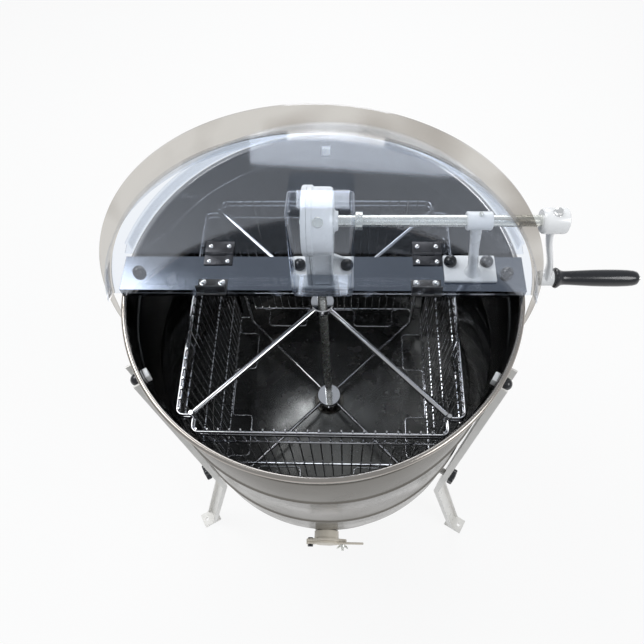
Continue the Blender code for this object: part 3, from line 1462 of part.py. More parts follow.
def lobed_outline(radius):
    """A round plate with a lobe on each side for the pivot bolt and the clamp stud."""
    lobe_x, lobe_y = GATE_LOBE_X, -GATE_LOBE_DROP
    outline = []
    for side in (1, -1):
        facing_angle = 0 if side > 0 else math.pi
        outline += arc(
            GATE_LOBE_RADIUS,
            facing_angle - QUARTER_TURN,
            facing_angle + QUARTER_TURN,
            ARC_STEPS,
            (side * lobe_x, lobe_y),
        )
        first = math.asin(GATE_LOBE_RADIUS / radius)
        top = arc(radius, first, math.pi - first, 2 * ARC_STEPS)
        outline += top if side > 0 else [(-x, -y) for x, y in top]
    return outline


def make_gate():
    face = OUTLET_REACH + GAP
    middle = face + GATE_FACE_THICKNESS / 2
    body = plate(
        "gate_body",
        [lobed_outline(GATE_FACE_RADIUS)],
        GATE_FACE_THICKNESS,
        gate_place(middle),
        GATE_PLASTIC,
    )
    sleeve_radius = OUTLET_BORE_RADIUS + OUTLET_WALL + GAP
    sleeve = turned(
        "gate_sleeve",
        [
            (sleeve_radius, GATE_FACE_THICKNESS / 2),
            (GATE_COLLAR_RADIUS, GATE_FACE_THICKNESS / 2),
            (GATE_COLLAR_RADIUS, -GATE_COLLAR_LENGTH),
            (sleeve_radius, -GATE_COLLAR_LENGTH),
        ],
        gate_place(face),
        ring=True,
    )
    stud_start = face + GATE_FACE_THICKNESS / 2
    front = face + GATE_FACE_THICKNESS
    blade_front = front + GAP + GATE_BLADE_THICKNESS
    stud_end = blade_front + GAP + GATE_NUT_THICKNESS + GATE_WING_HEIGHT
    lobe_height = RIM_HEIGHT - OUTLET_DROP - GATE_LOBE_DROP
    stud = rod(
        "gate_stud",
        (GATE_LOBE_X, -stud_start, lobe_height),
        (GATE_LOBE_X, -stud_end, lobe_height),
        GATE_BOLT_RADIUS,
    )
    join(body, sleeve)
    hole(body, outlet_place(face - GAP), outlet_place(front), OUTLET_BORE_RADIUS, MEDIUM_SIDES)
    join(body, stud)
    pivot_front, pivot_back = (-GATE_LOBE_X, -front, lobe_height), (-GATE_LOBE_X, -face, lobe_height)
    hole(body, pivot_back, pivot_front, GATE_BOLT_RADIUS + GAP)
    make_gate_bolt(face, blade_front, lobe_height)
    make_gate_blade(front, blade_front, lobe_height)
    make_wing_nut(blade_front, lobe_height)


def make_gate_bolt(face, blade_front, height):
    """The blade's pivot bolt, through the left lobe, with its black nut in front."""
    place = facing((-GATE_LOBE_X, -face, height), (0, -1, 0))
    front = blade_front - face + GAP
    head = -GAP
    profile = [
        (0, front + GATE_NUT_THICKNESS),
        (GATE_NUT_RADIUS, front + GATE_NUT_THICKNESS),
        (GATE_NUT_RADIUS, front),
        (GATE_BOLT_RADIUS, front),
        (GATE_BOLT_RADIUS, head),
        (GATE_NUT_RADIUS, head),
        (GATE_NUT_RADIUS, head - GATE_NUT_THICKNESS / 2),
        (0, head - GATE_NUT_THICKNESS / 2),
    ]
    return turned("gate_pivot_bolt", profile, place, BLACK_PLASTIC, sides=6)


def make_gate_blade(front, blade_front, lobe_height):
    """The swinging blade: a disc over the bore, a pivot eye and a handle to the right."""
    middle = (front + GAP + blade_front) / 2
    place = gate_place(middle)
    blade = plate(
        "gate_blade",
        [lobed_outline(GATE_BLADE_RADIUS)],
        GATE_BLADE_THICKNESS,
        place,
        GATE_PLASTIC,
    )
    handle_low = RIM_HEIGHT - OUTLET_DROP + GATE_HANDLE_RISE - GATE_LOBE_DROP
    handle = block(
        "gate_handle",
        (0, -blade_front, handle_low - GATE_HANDLE_HALF_HEIGHT),
        (GATE_HANDLE_LENGTH, -front - GAP, handle_low + GATE_HANDLE_HALF_HEIGHT),
    )
    slot = block(
        "gate_slot",
        (
            GATE_LOBE_X - GATE_SLOT_HALF_WIDTH,
            -blade_front - CUT_OVERRUN,
            lobe_height - GATE_COLLAR_RADIUS,
        ),
        (
            GATE_LOBE_X + GATE_LOBE_RADIUS + CUT_OVERRUN,
            -front + CUT_OVERRUN,
            lobe_height + GATE_SLOT_HALF_WIDTH,
        ),
    )
    cut(blade, slot)
    join(blade, handle)
    start, end = (-GATE_LOBE_X, -front, lobe_height), (-GATE_LOBE_X, -blade_front, lobe_height)
    hole(blade, start, end, GATE_BOLT_RADIUS + GAP)
    carry(pivot("gate_axis", (-GATE_LOBE_X, -front, lobe_height)), blade)


def make_wing_nut(blade_front, lobe_height):
    """The wing nut on the clamp stud."""
    base = blade_front + GAP
    place = facing((GATE_LOBE_X, -base, lobe_height), (0, -1, 0))
    bore = GATE_BOLT_RADIUS + GAP
    profile = [
        (bore, GATE_NUT_THICKNESS),
        (GATE_NUT_RADIUS, GATE_NUT_THICKNESS),
        (GATE_NUT_RADIUS, 0),
        (bore, 0),
    ]
    nut = turned("gate_wing_nut", profile, place, PLATED, SMALL_SIDES, ring=True)
    for side in (-1, 1):
        inner = (bore + GATE_NUT_RADIUS) / 2
        near, far = side * inner, side * GATE_WING_SPAN
        wing = block(
            f"gate_wing_{side}",
            (
                GATE_LOBE_X + min(near, far),
                -base - GATE_NUT_THICKNESS - GATE_WING_HEIGHT / 2,
                lobe_height - GATE_WING_THICKNESS / 2,
            ),
            (
                GATE_LOBE_X + max(near, far),
                -base - GATE_WING_THICKNESS / 2,
                lobe_height + GATE_WING_THICKNESS / 2,
            ),
        )
        join(nut, wing)
    carry(pivot("wing_nut_axis", (GATE_LOBE_X, -base, lobe_height)), nut)


def main():
    make_drum()
    make_base()
    make_floor()
    make_outlet_pipe()
    make_foot_bearing()
    for side, azimuth in LEG_AZIMUTHS.items():
        make_leg(side, azimuth)
    make_leg_knobs()
    make_bridge_bar()
    make_bar_knobs()
    make_gearbox()
    make_bracket()
    make_cage()
    make_crank()
    make_hinges()
    make_front_lid()
    make_rear_lid()
    make_gate()


main()
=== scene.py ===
"""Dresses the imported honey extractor: smooth forms, wire work, finishes, lights and camera.

Every form stands where its CAD node stands, in the same frame: metres, +Z up, the drum's
axis on Z and the operator at -Y. Forms replace their nodes and ride on the node's body.
"""

from __future__ import annotations

import logging
import math
from dataclasses import dataclass
from enum import Enum
from typing import Callable, Iterable, Sequence

import bmesh
import bpy
from mathutils import Matrix, Vector


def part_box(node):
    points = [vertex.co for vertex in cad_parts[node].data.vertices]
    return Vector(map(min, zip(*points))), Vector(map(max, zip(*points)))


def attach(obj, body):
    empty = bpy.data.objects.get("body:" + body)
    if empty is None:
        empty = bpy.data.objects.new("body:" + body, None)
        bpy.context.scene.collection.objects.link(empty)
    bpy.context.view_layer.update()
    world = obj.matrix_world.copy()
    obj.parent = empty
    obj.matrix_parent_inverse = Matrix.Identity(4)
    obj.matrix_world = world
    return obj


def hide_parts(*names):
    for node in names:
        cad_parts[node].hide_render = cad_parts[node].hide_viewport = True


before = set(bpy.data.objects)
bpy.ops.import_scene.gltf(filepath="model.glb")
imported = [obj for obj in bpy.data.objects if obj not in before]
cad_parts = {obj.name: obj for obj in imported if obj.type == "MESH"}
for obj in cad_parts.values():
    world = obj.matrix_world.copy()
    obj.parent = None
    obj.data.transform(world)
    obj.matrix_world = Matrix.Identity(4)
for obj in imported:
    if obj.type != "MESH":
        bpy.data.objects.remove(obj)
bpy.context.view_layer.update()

LOG = logging.getLogger("honey_extractor")

Pair = tuple[float, float]
Triple = tuple[float, float, float]
Inputs = dict[str | int, object]
Shape = bmesh.types.BMesh
Tree = bpy.types.NodeTree
Node = bpy.types.Node
Socket = bpy.types.NodeSocket

RIM = 0.5662
AXIS = RIM + 0.1535
BAR_TOP = RIM + 0.0190
HINGE = RIM + 0.0206
GROUND = RIM - 1.0300
QUARTER = math.pi / 2
FULL = 2 * math.pi
WELD = 0.00001
GAP = 0.0003
SHAFT = 0.0080
BORE = 0.0083
NOISE_SPAN = (0.3, 0.7)
FLANGE = 0.0060
STUD = 0.003
LEG_SIDES = (("left", 210), ("right", 330), ("rear", 90))
CAP_DROP = 0.033
OUTLET_DROP = 0.574
SMOOTH_ANGLE = math.radians(38)
FLAT_FACE = 0.00006


class Body(Enum):
    """The rigid bodies of the frame that a form can ride on."""

    STAND = "stand"
    CAGE = "cage"
    CRANK = "crank"
    GRIP = "grip"
    FRONT_LID = "front_lid"
    REAR_LID = "rear_lid"
    BLADE = "gate_blade"
    WING_NUT = "wing_nut"


class Lay(Enum):
    """The way a metal's brushing runs."""

    ROUND = "round"
    ALONG_X = "along_x"
    NONE = "none"


# Shader nodes


def fresh(name: str) -> tuple[bpy.types.Material, Tree, Node]:
    """Makes a material of shader nodes.

    Args:
        name: The material's name.

    Returns:
        The material, its node tree and its Principled shader.
    """
    material = bpy.data.materials.new(name)
    material.use_nodes = True
    return material, material.node_tree, material.node_tree.nodes["Principled BSDF"]


def feed(tree: Tree, target: Node, inputs: Inputs) -> None:
    """Links or sets a node's inputs.

    Args:
        tree: The node tree.
        target: The node.
        inputs: For each input, the socket to link from or the value to set.
    """
    for key, value in inputs.items():
        if isinstance(value, Socket):
            tree.links.new(value, target.inputs[key])
        else:
            target.inputs[key].default_value = value


def add(tree: Tree, kind: str, inputs: Inputs | None = None) -> Node:
    """Adds a shader node.

    Args:
        tree: The node tree.
        kind: The node's type without its ShaderNode prefix.
        inputs: What its inputs get.

    Returns:
        The node.
    """
    added = tree.nodes.new(f"ShaderNode{kind}")
    feed(tree, added, inputs or {})
    return added


def noise(tree: Tree, place: Socket, scale: float, detail: float) -> Socket:
    """Adds a noise texture and returns its factor."""
    inputs = {"Vector": place, "Scale": scale, "Detail": detail}
    return add(tree, "TexNoise", inputs).outputs["Fac"]


def blend(tree: Tree, value: Socket, colours: Sequence[Triple], span: Pair) -> Socket:
    """Blends from one colour to another over a span of a value.

    Args:
        tree: The node tree.
        value: The value.
        colours: Both colours.
        span: The values at which they are reached.

    Returns:
        The blended colour.
    """
    ramp = add(tree, "ValToRGB", {"Fac": value})
    for i, (colour, position) in enumerate(zip(colours, span)):
        ramp.color_ramp.elements[i].position = position
        ramp.color_ramp.elements[i].color = (*colour, 1)
    return ramp.outputs["Color"]


# Finishes


@dataclass(frozen=True)
class Finish:
    """A surface finish made of shader nodes on object coordinates."""

    name: str
    slot: str
    colour: Triple
    roughness: float
    metallic: float = 0.0
    spread: float = 0.06
    cloud_scale: float = 14.0
    bump: float = 0.0
    bump_scale: float = 300.0
    lay: Lay = Lay.NONE
    lay_depth: float = 0.0
    coat: float = 0.0
    wear: float = 0.0
    wear_colour: Triple = (0.5, 0.5, 0.5)

    def make(self) -> bpy.types.Material:
        """Builds the material once and returns it.

        Returns:
            The material of this finish.
        """
        found = bpy.data.materials.get(f"{self.name}_look")
        if found is not None:
            return found
        material, tree, shader = fresh(f"{self.name}_look")
        place = add(tree, "TexCoord").outputs["Object"]
        rough = {
            "Value": noise(tree, place, self.cloud_scale * 3, 3.0),
            "From Min": NOISE_SPAN[0],
            "From Max": NOISE_SPAN[1],
            "To Min": max(0.02, self.roughness * 0.75),
            "To Max": self.roughness * 1.3,
        }
        inputs = {
            "Metallic": self.metallic,
            "Base Color": self._tint(tree, noise(tree, place, self.cloud_scale, 4.0)),
            "Roughness": add(tree, "MapRange", rough).outputs["Result"],
        }
        if self.coat > 0:
            inputs |= {"Coat Weight": self.coat, "Coat Roughness": 0.08}
        feed(tree, shader, inputs)
        self._relief(tree, shader, place)
        return material

    def _tint(self, tree: Tree, clouds: Socket) -> Socket:
        """Varies the colour a little over the surface, with wear on edges where asked.

        Args:
            tree: The material's node tree.
            clouds: The noise that spreads the colour.

        Returns:
            The colour.
        """
        shades = [
            tuple(min(1.0, c * (1 + side * self.spread)) for c in self.colour) for side in (-1, 1)
        ]
        colour = blend(tree, clouds, shades, NOISE_SPAN)
        if self.wear > 0:
            points = add(tree, "NewGeometry").outputs["Pointiness"]
            worn = {"Value": points, "From Min": 0.52, "From Max": 0.60, "To Max": self.wear}
            edge = add(tree, "MapRange", worn).outputs["Result"]
            mix = add(tree, "Mix")
            mix.data_type = "RGBA"
            feed(tree, mix, {0: edge, 6: colour, 7: (*self.wear_colour, 1)})
            colour = mix.outputs[2]
        return colour

    def _relief(self, tree: Tree, shader: Node, place: Socket) -> None:
        """Adds fine bump: brushing along the lay, or the grain of paint or moulding.

        Args:
            tree: The material's node tree.
            shader: The Principled shader.
            place: The coordinates to read.
        """
        stretch = {Lay.ROUND: (6.0, 6.0, 900.0), Lay.ALONG_X: (8.0, 900.0, 900.0)}.get(self.lay)
        if stretch is not None:
            drawn = add(tree, "Mapping", {"Vector": place, "Scale": stretch})
            height = noise(tree, drawn.outputs["Vector"], 1.0, 2.0)
            strength = self.lay_depth
        elif self.bump > 0:
            height = noise(tree, place, self.bump_scale, 3.0)
            strength = self.bump
        else:
            return
        bump = add(tree, "Bump", {"Height": height, "Strength": strength, "Distance": 0.0006})
        feed(tree, shader, {"Normal": bump.outputs["Normal"]})


@dataclass(frozen=True)
class ClearFinish:
    """Clear sheet: light passes straight through, and a thin gloss lies on it."""

    name: str
    slot: str
    dark: Triple
    light: Triple
    haze: float
    gloss: float = 0.75
    roughness: float = 0.05

    def make(self) -> bpy.types.Material:
        """Builds the material once and returns it.

        Returns:
            The material of the clear sheet.
        """
        found = bpy.data.materials.get(f"{self.name}_look")
        if found is not None:
            return found
        material, tree, shader = fresh(f"{self.name}_look")
        tint = {"Base Color": (0.88, 0.92, 1.0, 1), "Metallic": 1.0, "Roughness": self.roughness}
        feed(tree, shader, tint)
        clouds = noise(tree, add(tree, "TexCoord").outputs["Object"], 6.0, 2.0)
        colour = blend(tree, clouds, (self.dark, self.light), (0.34, 0.52))
        clear = add(tree, "BsdfTransparent", {"Color": colour}).outputs["BSDF"]
        facing = add(tree, "LayerWeight", {"Blend": 0.5}).outputs["Facing"]
        steep = add(tree, "Math", {0: facing, 1: 2.0})
        steep.operation = "POWER"
        span = {"Value": steep.outputs["Value"], "To Min": self.haze, "To Max": self.gloss}
        share = add(tree, "MapRange", span).outputs["Result"]
        mix = add(tree, "MixShader", {0: share, 1: clear, 2: shader.outputs["BSDF"]})
        feed(tree, tree.nodes["Material Output"], {"Surface": mix.outputs["Shader"]})
        return material


DRUM_OUTSIDE = Finish(
    "drum_outside", "stainless", (0.145, 0.136, 0.122), roughness=0.22, metallic=1.0, spread=0.12,
    cloud_scale=5.0, lay=Lay.ROUND, lay_depth=0.12,
)
# Painted highlight: the rim's top is a lighter copy of the drum's steel, standing in for the bright
# line of light along the rolled rim.
RIM_HIGHLIGHT = Finish(
    "drum_rim_painted_highlight", "stainless", (0.40, 0.37, 0.34), roughness=0.20, metallic=1.0, spread=0.08,
    cloud_scale=8.0, lay=Lay.ROUND, lay_depth=0.08,
)
# Painted shade: the inner wall is a darker copy of the drum's steel, standing in for the shade and dark
# reflections inside the drum.
DRUM_INSIDE_SHADE = Finish(
    "drum_inside_painted_shade", "stainless", (0.085, 0.085, 0.085), roughness=0.12, metallic=1.0, spread=0.25,
    cloud_scale=5.0, lay=Lay.ROUND, lay_depth=0.06,
)
DRUM_FLOOR = Finish(
    "drum_floor", "stainless", (0.17, 0.17, 0.165), roughness=0.24, metallic=1.0, spread=0.15,
    cloud_scale=7.0, bump=0.03,
)
# Painted reflection: the bar's polished steel is darkened and tinted blue to stand in for the dark,
# bluish surroundings that its mirror face reflects.
POLISHED_DARK_REFLECTION = Finish(
    "polished_bar_painted_reflection", "polished_stainless", (0.20, 0.225, 0.27), roughness=0.12, metallic=1.0,
    spread=0.10, cloud_scale=6.0, lay=Lay.ALONG_X, lay_depth=0.03,
)
CHROME = Finish(
    "chrome_wire", "chrome_wire", (0.62, 0.62, 0.64), roughness=0.10, metallic=1.0, spread=0.03,
    cloud_scale=40.0,
)
PLATED = Finish(
    "plated_steel", "plated_steel", (0.80, 0.81, 0.77), roughness=0.26, metallic=0.85, spread=0.08,
    cloud_scale=40.0, bump=0.03,
)
BRIGHT_NUT = Finish(
    "bright_nut", "plated_steel", (0.86, 0.86, 0.86), roughness=0.16, metallic=0.9, spread=0.03,
    cloud_scale=60.0,
)
GEAR_STEEL = Finish(
    "gear_steel", "gear_steel", (0.42, 0.42, 0.43), roughness=0.32, metallic=1.0, spread=0.08,
    cloud_scale=50.0, bump=0.05,
)
ENAMEL = Finish(
    "white_enamel", "white_enamel", (0.84, 0.85, 0.86), roughness=0.24, spread=0.02, cloud_scale=20.0,
    bump=0.05, bump_scale=120.0, coat=0.4, wear=0.25, wear_colour=(0.70, 0.70, 0.68),
)
LEG_PAINT = Finish(
    "leg_paint", "leg_paint", (0.86, 0.845, 0.81), roughness=0.36, spread=0.04, cloud_scale=12.0,
    bump=0.10, bump_scale=500.0, coat=0.15, wear=0.35, wear_colour=(0.50, 0.49, 0.46),
)
BLACK = Finish(
    "black_moulding", "black_plastic", (0.006, 0.007, 0.010), roughness=0.20, spread=0.20,
    cloud_scale=30.0, bump=0.03, coat=0.3, wear=0.2, wear_colour=(0.04, 0.04, 0.05),
)
BLACK_PLATE = Finish(
    "black_plate", "black_plate", (0.018, 0.018, 0.020), roughness=0.38, metallic=0.6, spread=0.15,
    cloud_scale=40.0, bump=0.06, wear=0.4, wear_colour=(0.20, 0.20, 0.20),
)
GREY_PLATE = Finish(
    "grey_plate", "grey_plate", (0.050, 0.050, 0.055), roughness=0.34, metallic=0.6, spread=0.12,
    cloud_scale=40.0, bump=0.06,
)
GATE_MOULDING = Finish(
    "gate_moulding", "gate_plastic", (0.72, 0.66, 0.56), roughness=0.42, spread=0.06, cloud_scale=25.0,
    bump=0.10, bump_scale=400.0,
)
BRONZE = Finish(
    "bronze_bush", "bronze", (0.52, 0.36, 0.17), roughness=0.32, metallic=1.0, spread=0.08,
    cloud_scale=60.0, bump=0.05,
)
CLEAR = ClearFinish(
    "clear_sheet", "clear_sheet", (0.95, 0.965, 0.985), (0.95, 0.965, 0.985), haze=0.008
)
# Smoked tint of the brim, with darker cloudy patches painted in as the reflections seen on it.
BRIM_SMOKE_AND_REFLECTION = ClearFinish(
    "smoked_brim_and_painted_reflection", "clear_sheet", (0.58, 0.555, 0.52), (0.80, 0.785, 0.76), haze=0.02, gloss=0.40,
    roughness=0.12,
)


# Shapes on bmesh operators


def shifted(x: float, y: float, z: float) -> Matrix:
    """Returns the matrix that moves by x, y and z."""
    return Matrix.Translation((x, y, z))


def aimed(point: Sequence[float], direction: Sequence[float]) -> Matrix:
    """Returns the matrix that puts Z along a direction and the origin at a point."""
    turn = Vector(direction).to_track_quat("Z", "Y").to_matrix().to_4x4()
    return Matrix.Translation(Vector(point)) @ turn


def put(shape: Shape, place: Matrix) -> Shape:
    """Moves a shape and returns it."""
    bmesh.ops.transform(shape, matrix=place, verts=shape.verts)
    return shape


def ease(
    work: Shape, edges: list[bmesh.types.BMEdge], offset: float, segments: int = 2, clamp: bool = False
) -> None:
    """Rounds edges of a shape.

    Args:
        work: The shape.
        edges: Its edges to round.
        offset: How far they are rounded.
        segments: How many steps a round has.
        clamp: Whether rounds stop where they would meet.
    """
    bmesh.ops.bevel(
        work,
        geom=edges,
        offset=offset,
        segments=segments,
        profile=0.5,
        affect="EDGES",
        material=-1,
        clamp_overlap=clamp,
    )


def axle(x: float, drop: float = 0.0) -> Matrix:
    """Returns a place on the crank's axis, or a drop below it, with Z along +X."""
    return aimed((x, 0, AXIS - drop), (1, 0, 0))


def arc(radius: float, first: float, last: float, steps: int, centre: Pair = (0.0, 0.0)) -> list[Pair]:
    """Lays points on an arc in equal steps between two angles, both ends counted."""
    angles = [first + (last - first) * i / steps for i in range(steps + 1)]
    return [(centre[0] + radius * math.cos(a), centre[1] + radius * math.sin(a)) for a in angles]


def rounded(points: Sequence[Sequence[float]], bend: float, steps: int = 5) -> list[Vector]:
    """Rounds the corners of a route.

    Args:
        points: The route's corners.
        bend: How far from a corner its curve starts.
        steps: How many steps a curve has.

    Returns:
        The route with curved corners.
    """
    route = [Vector(p) for p in points]
    result = [route[0]]
    for before, corner, after in zip(route, route[1:], route[2:]):
        start = corner + (before - corner).normalized() * min(bend, (before - corner).length / 2)
        end = corner + (after - corner).normalized() * min(bend, (after - corner).length / 2)
        for i in range(steps + 1):
            t = i / steps
            result.append(start * (1 - t) ** 2 + corner * 2 * t * (1 - t) + end * t**2)
    result.append(route[-1])
    return result


def lathe(profile: Sequence[Pair], place: Matrix, steps: int = 48) -> Shape:
    """Spins a profile of (radius, height) about Z.

    Args:
        profile: The profile's points, in order.
        place: Where the turned shape goes.
        steps: How many steps make the turn.

    Returns:
        The turned shape.
    """
    work = bmesh.new()
    verts = [work.verts.new((radius, 0, height)) for radius, height in profile]
    edges = [work.edges.new(pair) for pair in zip(verts, verts[1:])]
    bmesh.ops.spin(
        work,
        geom=verts + edges,
        cent=(0, 0, 0),
        axis=(0, 0, 1),
        angle=FULL,
        steps=steps,
        use_merge=True,
    )
    bmesh.ops.remove_doubles(work, verts=work.verts, dist=WELD)
    bmesh.ops.recalc_face_normals(work, faces=work.faces)
    return put(work, place)


def rod(
    start: Sequence[float], end: Sequence[float], radius: float, steps: int = 32, edge: float = 0.0006
) -> Shape:
    """Turns a round bar with eased ends.

    Args:
        start: The middle of one end.
        end: The middle of the other.
        radius: The bar's radius.
        steps: How many sides it has.
        edge: How far its ends are eased.

    Returns:
        The bar.
    """
    along = Vector(end) - Vector(start)
    length = along.length
    profile = [
        (0.0, 0.0), (radius - edge, 0.0), (radius, edge), (radius, length - edge),
        (radius - edge, length), (0.0, length),
    ]
    return lathe(profile, aimed(start, along), steps)


def tube(
    points: Sequence[Sequence[float]],
    radii: float | Sequence[Pair],
    sides: int = 10,
    across: Triple = (0.0, 0.0, 1.0),
) -> Shape:
    """Sweeps a round or oval section along a route, by extruding a circle.

    Args:
        points: The route.
        radii: One radius, or each station's half sizes beside and along `across`.
        sides: How many sides the section has.
        across: The direction that the section's second half size keeps to.

    Returns:
        The swept shape with capped ends.
    """
    route = [Vector(p) for p in points]
    sizes = [(radii, radii)] * len(route) if isinstance(radii, (int, float)) else list(radii)
    frames = []
    for i, point in enumerate(route):
        ahead = route[min(i + 1, len(route) - 1)] - route[max(i - 1, 0)]
        ahead.normalize()
        up = Vector(across)
        if abs(ahead.dot(up)) > 0.95:
            up = Vector((1, 0, 0)) if abs(ahead.x) < 0.9 else Vector((0, 1, 0))
        beside = up.cross(ahead).normalized()
        up = ahead.cross(beside).normalized()
        turn = Matrix((beside, up, ahead)).transposed().to_4x4()
        stretch = Matrix.Diagonal((sizes[i][0], sizes[i][1], 1, 1))
        frames.append(Matrix.Translation(point) @ turn @ stretch)
    work = bmesh.new()
    ring = bmesh.ops.create_circle(work, segments=sides, radius=1, matrix=frames[0])["verts"]
    edges = list(work.edges)
    bmesh.ops.contextual_create(work, geom=edges)
    for before, after in zip(frames, frames[1:]):
        grown = bmesh.ops.extrude_edge_only(work, edges=edges)["geom"]
        ring = [item for item in grown if isinstance(item, bmesh.types.BMVert)]
        edges = [
            item for item in grown if isinstance(item, bmesh.types.BMEdge) and all(
                v in ring for v in item.verts
            )
        ]
        bmesh.ops.transform(work, matrix=after @ before.inverted(), verts=ring)
    bmesh.ops.contextual_create(work, geom=edges)
    bmesh.ops.recalc_face_normals(work, faces=work.faces)
    return work


def slab(
    outline: Sequence[Pair],
    thickness: float,
    place: Matrix,
    edge: float = 0.0005,
    holes: Iterable[Sequence[Pair]] = (),
) -> Shape:
    """Extrudes a flat outline, centred on its own plane, and eases its edges.

    Args:
        outline: The outline's points in order.
        thickness: The plate's thickness.
        place: Where the plate goes.
        edge: How far the edges are eased, or zero.
        holes: The outlines of its holes.

    Returns:
        The plate.
    """
    work = bmesh.new()
    loops = []
    for points in (outline, *holes):
        verts = [work.verts.new((x, y, -thickness / 2)) for x, y in points]
        loops += [work.edges.new((a, b)) for a, b in zip(verts, verts[1:] + verts[:1])]
    if len(loops) == len(outline):
        work.faces.new(work.verts)
    else:
        bmesh.ops.triangle_fill(work, edges=loops, normal=(0, 0, 1), use_beauty=True)
    base = list(work.faces)
    grown = bmesh.ops.extrude_face_region(work, geom=base)["geom"]
    top = [item for item in grown if isinstance(item, bmesh.types.BMVert)]
    bmesh.ops.translate(work, vec=(0, 0, thickness), verts=top)
    bmesh.ops.recalc_face_normals(work, faces=work.faces)
    if edge > 0:
        rims = [
            item
            for item in work.edges
            if len(item.link_faces) == 2
            and item.calc_face_angle(0) > math.radians(60)
            and abs(item.verts[0].co.z - item.verts[1].co.z) < thickness / 2
        ]
        ease(work, rims, edge)
    return put(work, place)


def block(low: Sequence[float], high: Sequence[float], edge: float = 0.001) -> Shape:
    """Makes a block between two corners with rounded edges.

    Args:
        low: The lowest corner.
        high: The highest corner.
        edge: How far its edges are rounded.

    Returns:
        The block.
    """
    low, high = Vector(low), Vector(high)
    work = bmesh.new()
    place = Matrix.Translation((low + high) / 2) @ Matrix.Diagonal((*(high - low), 1))
    bmesh.ops.create_cube(work, size=1, matrix=place)
    ease(work, list(work.edges), edge, 3)
    return work


def softened(node: str, edge: float, angle: float = 30.0) -> Shape:
    """Copies a node's shape, welds it and rounds its sharp edges.

    Args:
        node: The CAD node.
        edge: How far its edges are rounded.
        angle: The smallest angle in degrees that is rounded.

    Returns:
        The softened copy.
    """
    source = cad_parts[node]
    work = bmesh.new()
    work.from_mesh(source.data)
    put(work, source.matrix_world)
    bmesh.ops.remove_doubles(work, verts=work.verts, dist=WELD)
    bmesh.ops.dissolve_limit(work, angle_limit=math.radians(1), verts=work.verts, edges=work.edges)
    sharp = [
        e for e in work.edges if len(e.link_faces) == 2 and e.calc_face_angle(0) > math.radians(angle)
    ]
    ease(work, sharp, edge, clamp=True)
    return work


def hexagon(across: float) -> list[Pair]:
    """Returns a hexagon's corners, given the size across its flats."""
    return arc(across / math.sqrt(3), 0, FULL * 5 / 6, 5)


def linked(name: str, data: bpy.types.ID) -> bpy.types.Object:
    """Makes an object and links it to the scene.

    Args:
        name: The object's name.
        data: Its mesh, lamp or camera.

    Returns:
        The object.
    """
    obj = bpy.data.objects.new(name, data)
    bpy.context.scene.collection.objects.link(obj)
    return obj


@dataclass
class Assembler:
    """Joins shapes into named pieces, dresses them and rides them on their bodies."""

    count: int = 0

    def piece(
        self,
        name: str,
        shapes: Sequence[Shape],
        finish: Finish | ClearFinish,
        body: Body,
        nodes: Sequence[str] = (),
        more: Sequence[Finish | ClearFinish] = (),
        choose: Callable[[bmesh.types.BMFace], int] | None = None,
        flat_from: float = math.inf,
    ) -> None:
        """Makes one visible piece.

        Args:
            name: The piece's name.
            shapes: Its shapes, which are joined and freed.
            finish: Its main finish.
            body: The body that it rides on.
            nodes: The CAD nodes that it replaces.
            more: Further finishes for the faces that `choose` picks.
            choose: Gives each face's finish by index.
            flat_from: The area in square metres from which a face is shaded flat.
        """
        whole = bmesh.new()
        for shape in shapes:
            part = bpy.data.meshes.new(f"{name}_part")
            shape.to_mesh(part)
            shape.free()
            whole.from_mesh(part)
            bpy.data.meshes.remove(part)
        if choose is not None:
            for face in whole.faces:
                face.material_index = choose(face)
        mesh = bpy.data.meshes.new(name)
        whole.to_mesh(mesh)
        whole.free()
        for used in (finish, *more):
            mesh.materials.append(used.make())
        mesh.shade_smooth()
        mesh.set_sharp_from_angle(angle=SMOOTH_ANGLE)
        for polygon in mesh.polygons:
            if polygon.area > flat_from:
                polygon.use_smooth = False
        obj = linked(name, mesh)
        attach(obj, body.value)
        if nodes:
            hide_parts(*nodes)
        self.count += 1
        LOG.info("made %s: %d faces", name, len(mesh.polygons))

    def form(
        self,
        node: str,
        shapes: Sequence[Shape],
        finish: Finish | ClearFinish,
        body: Body,
        **extra: object,
    ) -> None:
        """Makes the piece that takes a CAD node's place; `extra` goes on to `piece`."""
        self.piece(f"{node}_form", shapes, finish, body, [node], **extra)

    def dress(self, node: str, finish: Finish) -> None:
        """Gives a kept CAD node its finish.

        Args:
            node: The node's name.
            finish: The finish to use.
        """
        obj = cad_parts[node]
        obj.data.materials.clear()
        obj.data.materials.append(finish.make())
        LOG.info("dressed %s", node)


SHOP = Assembler()


# Drum


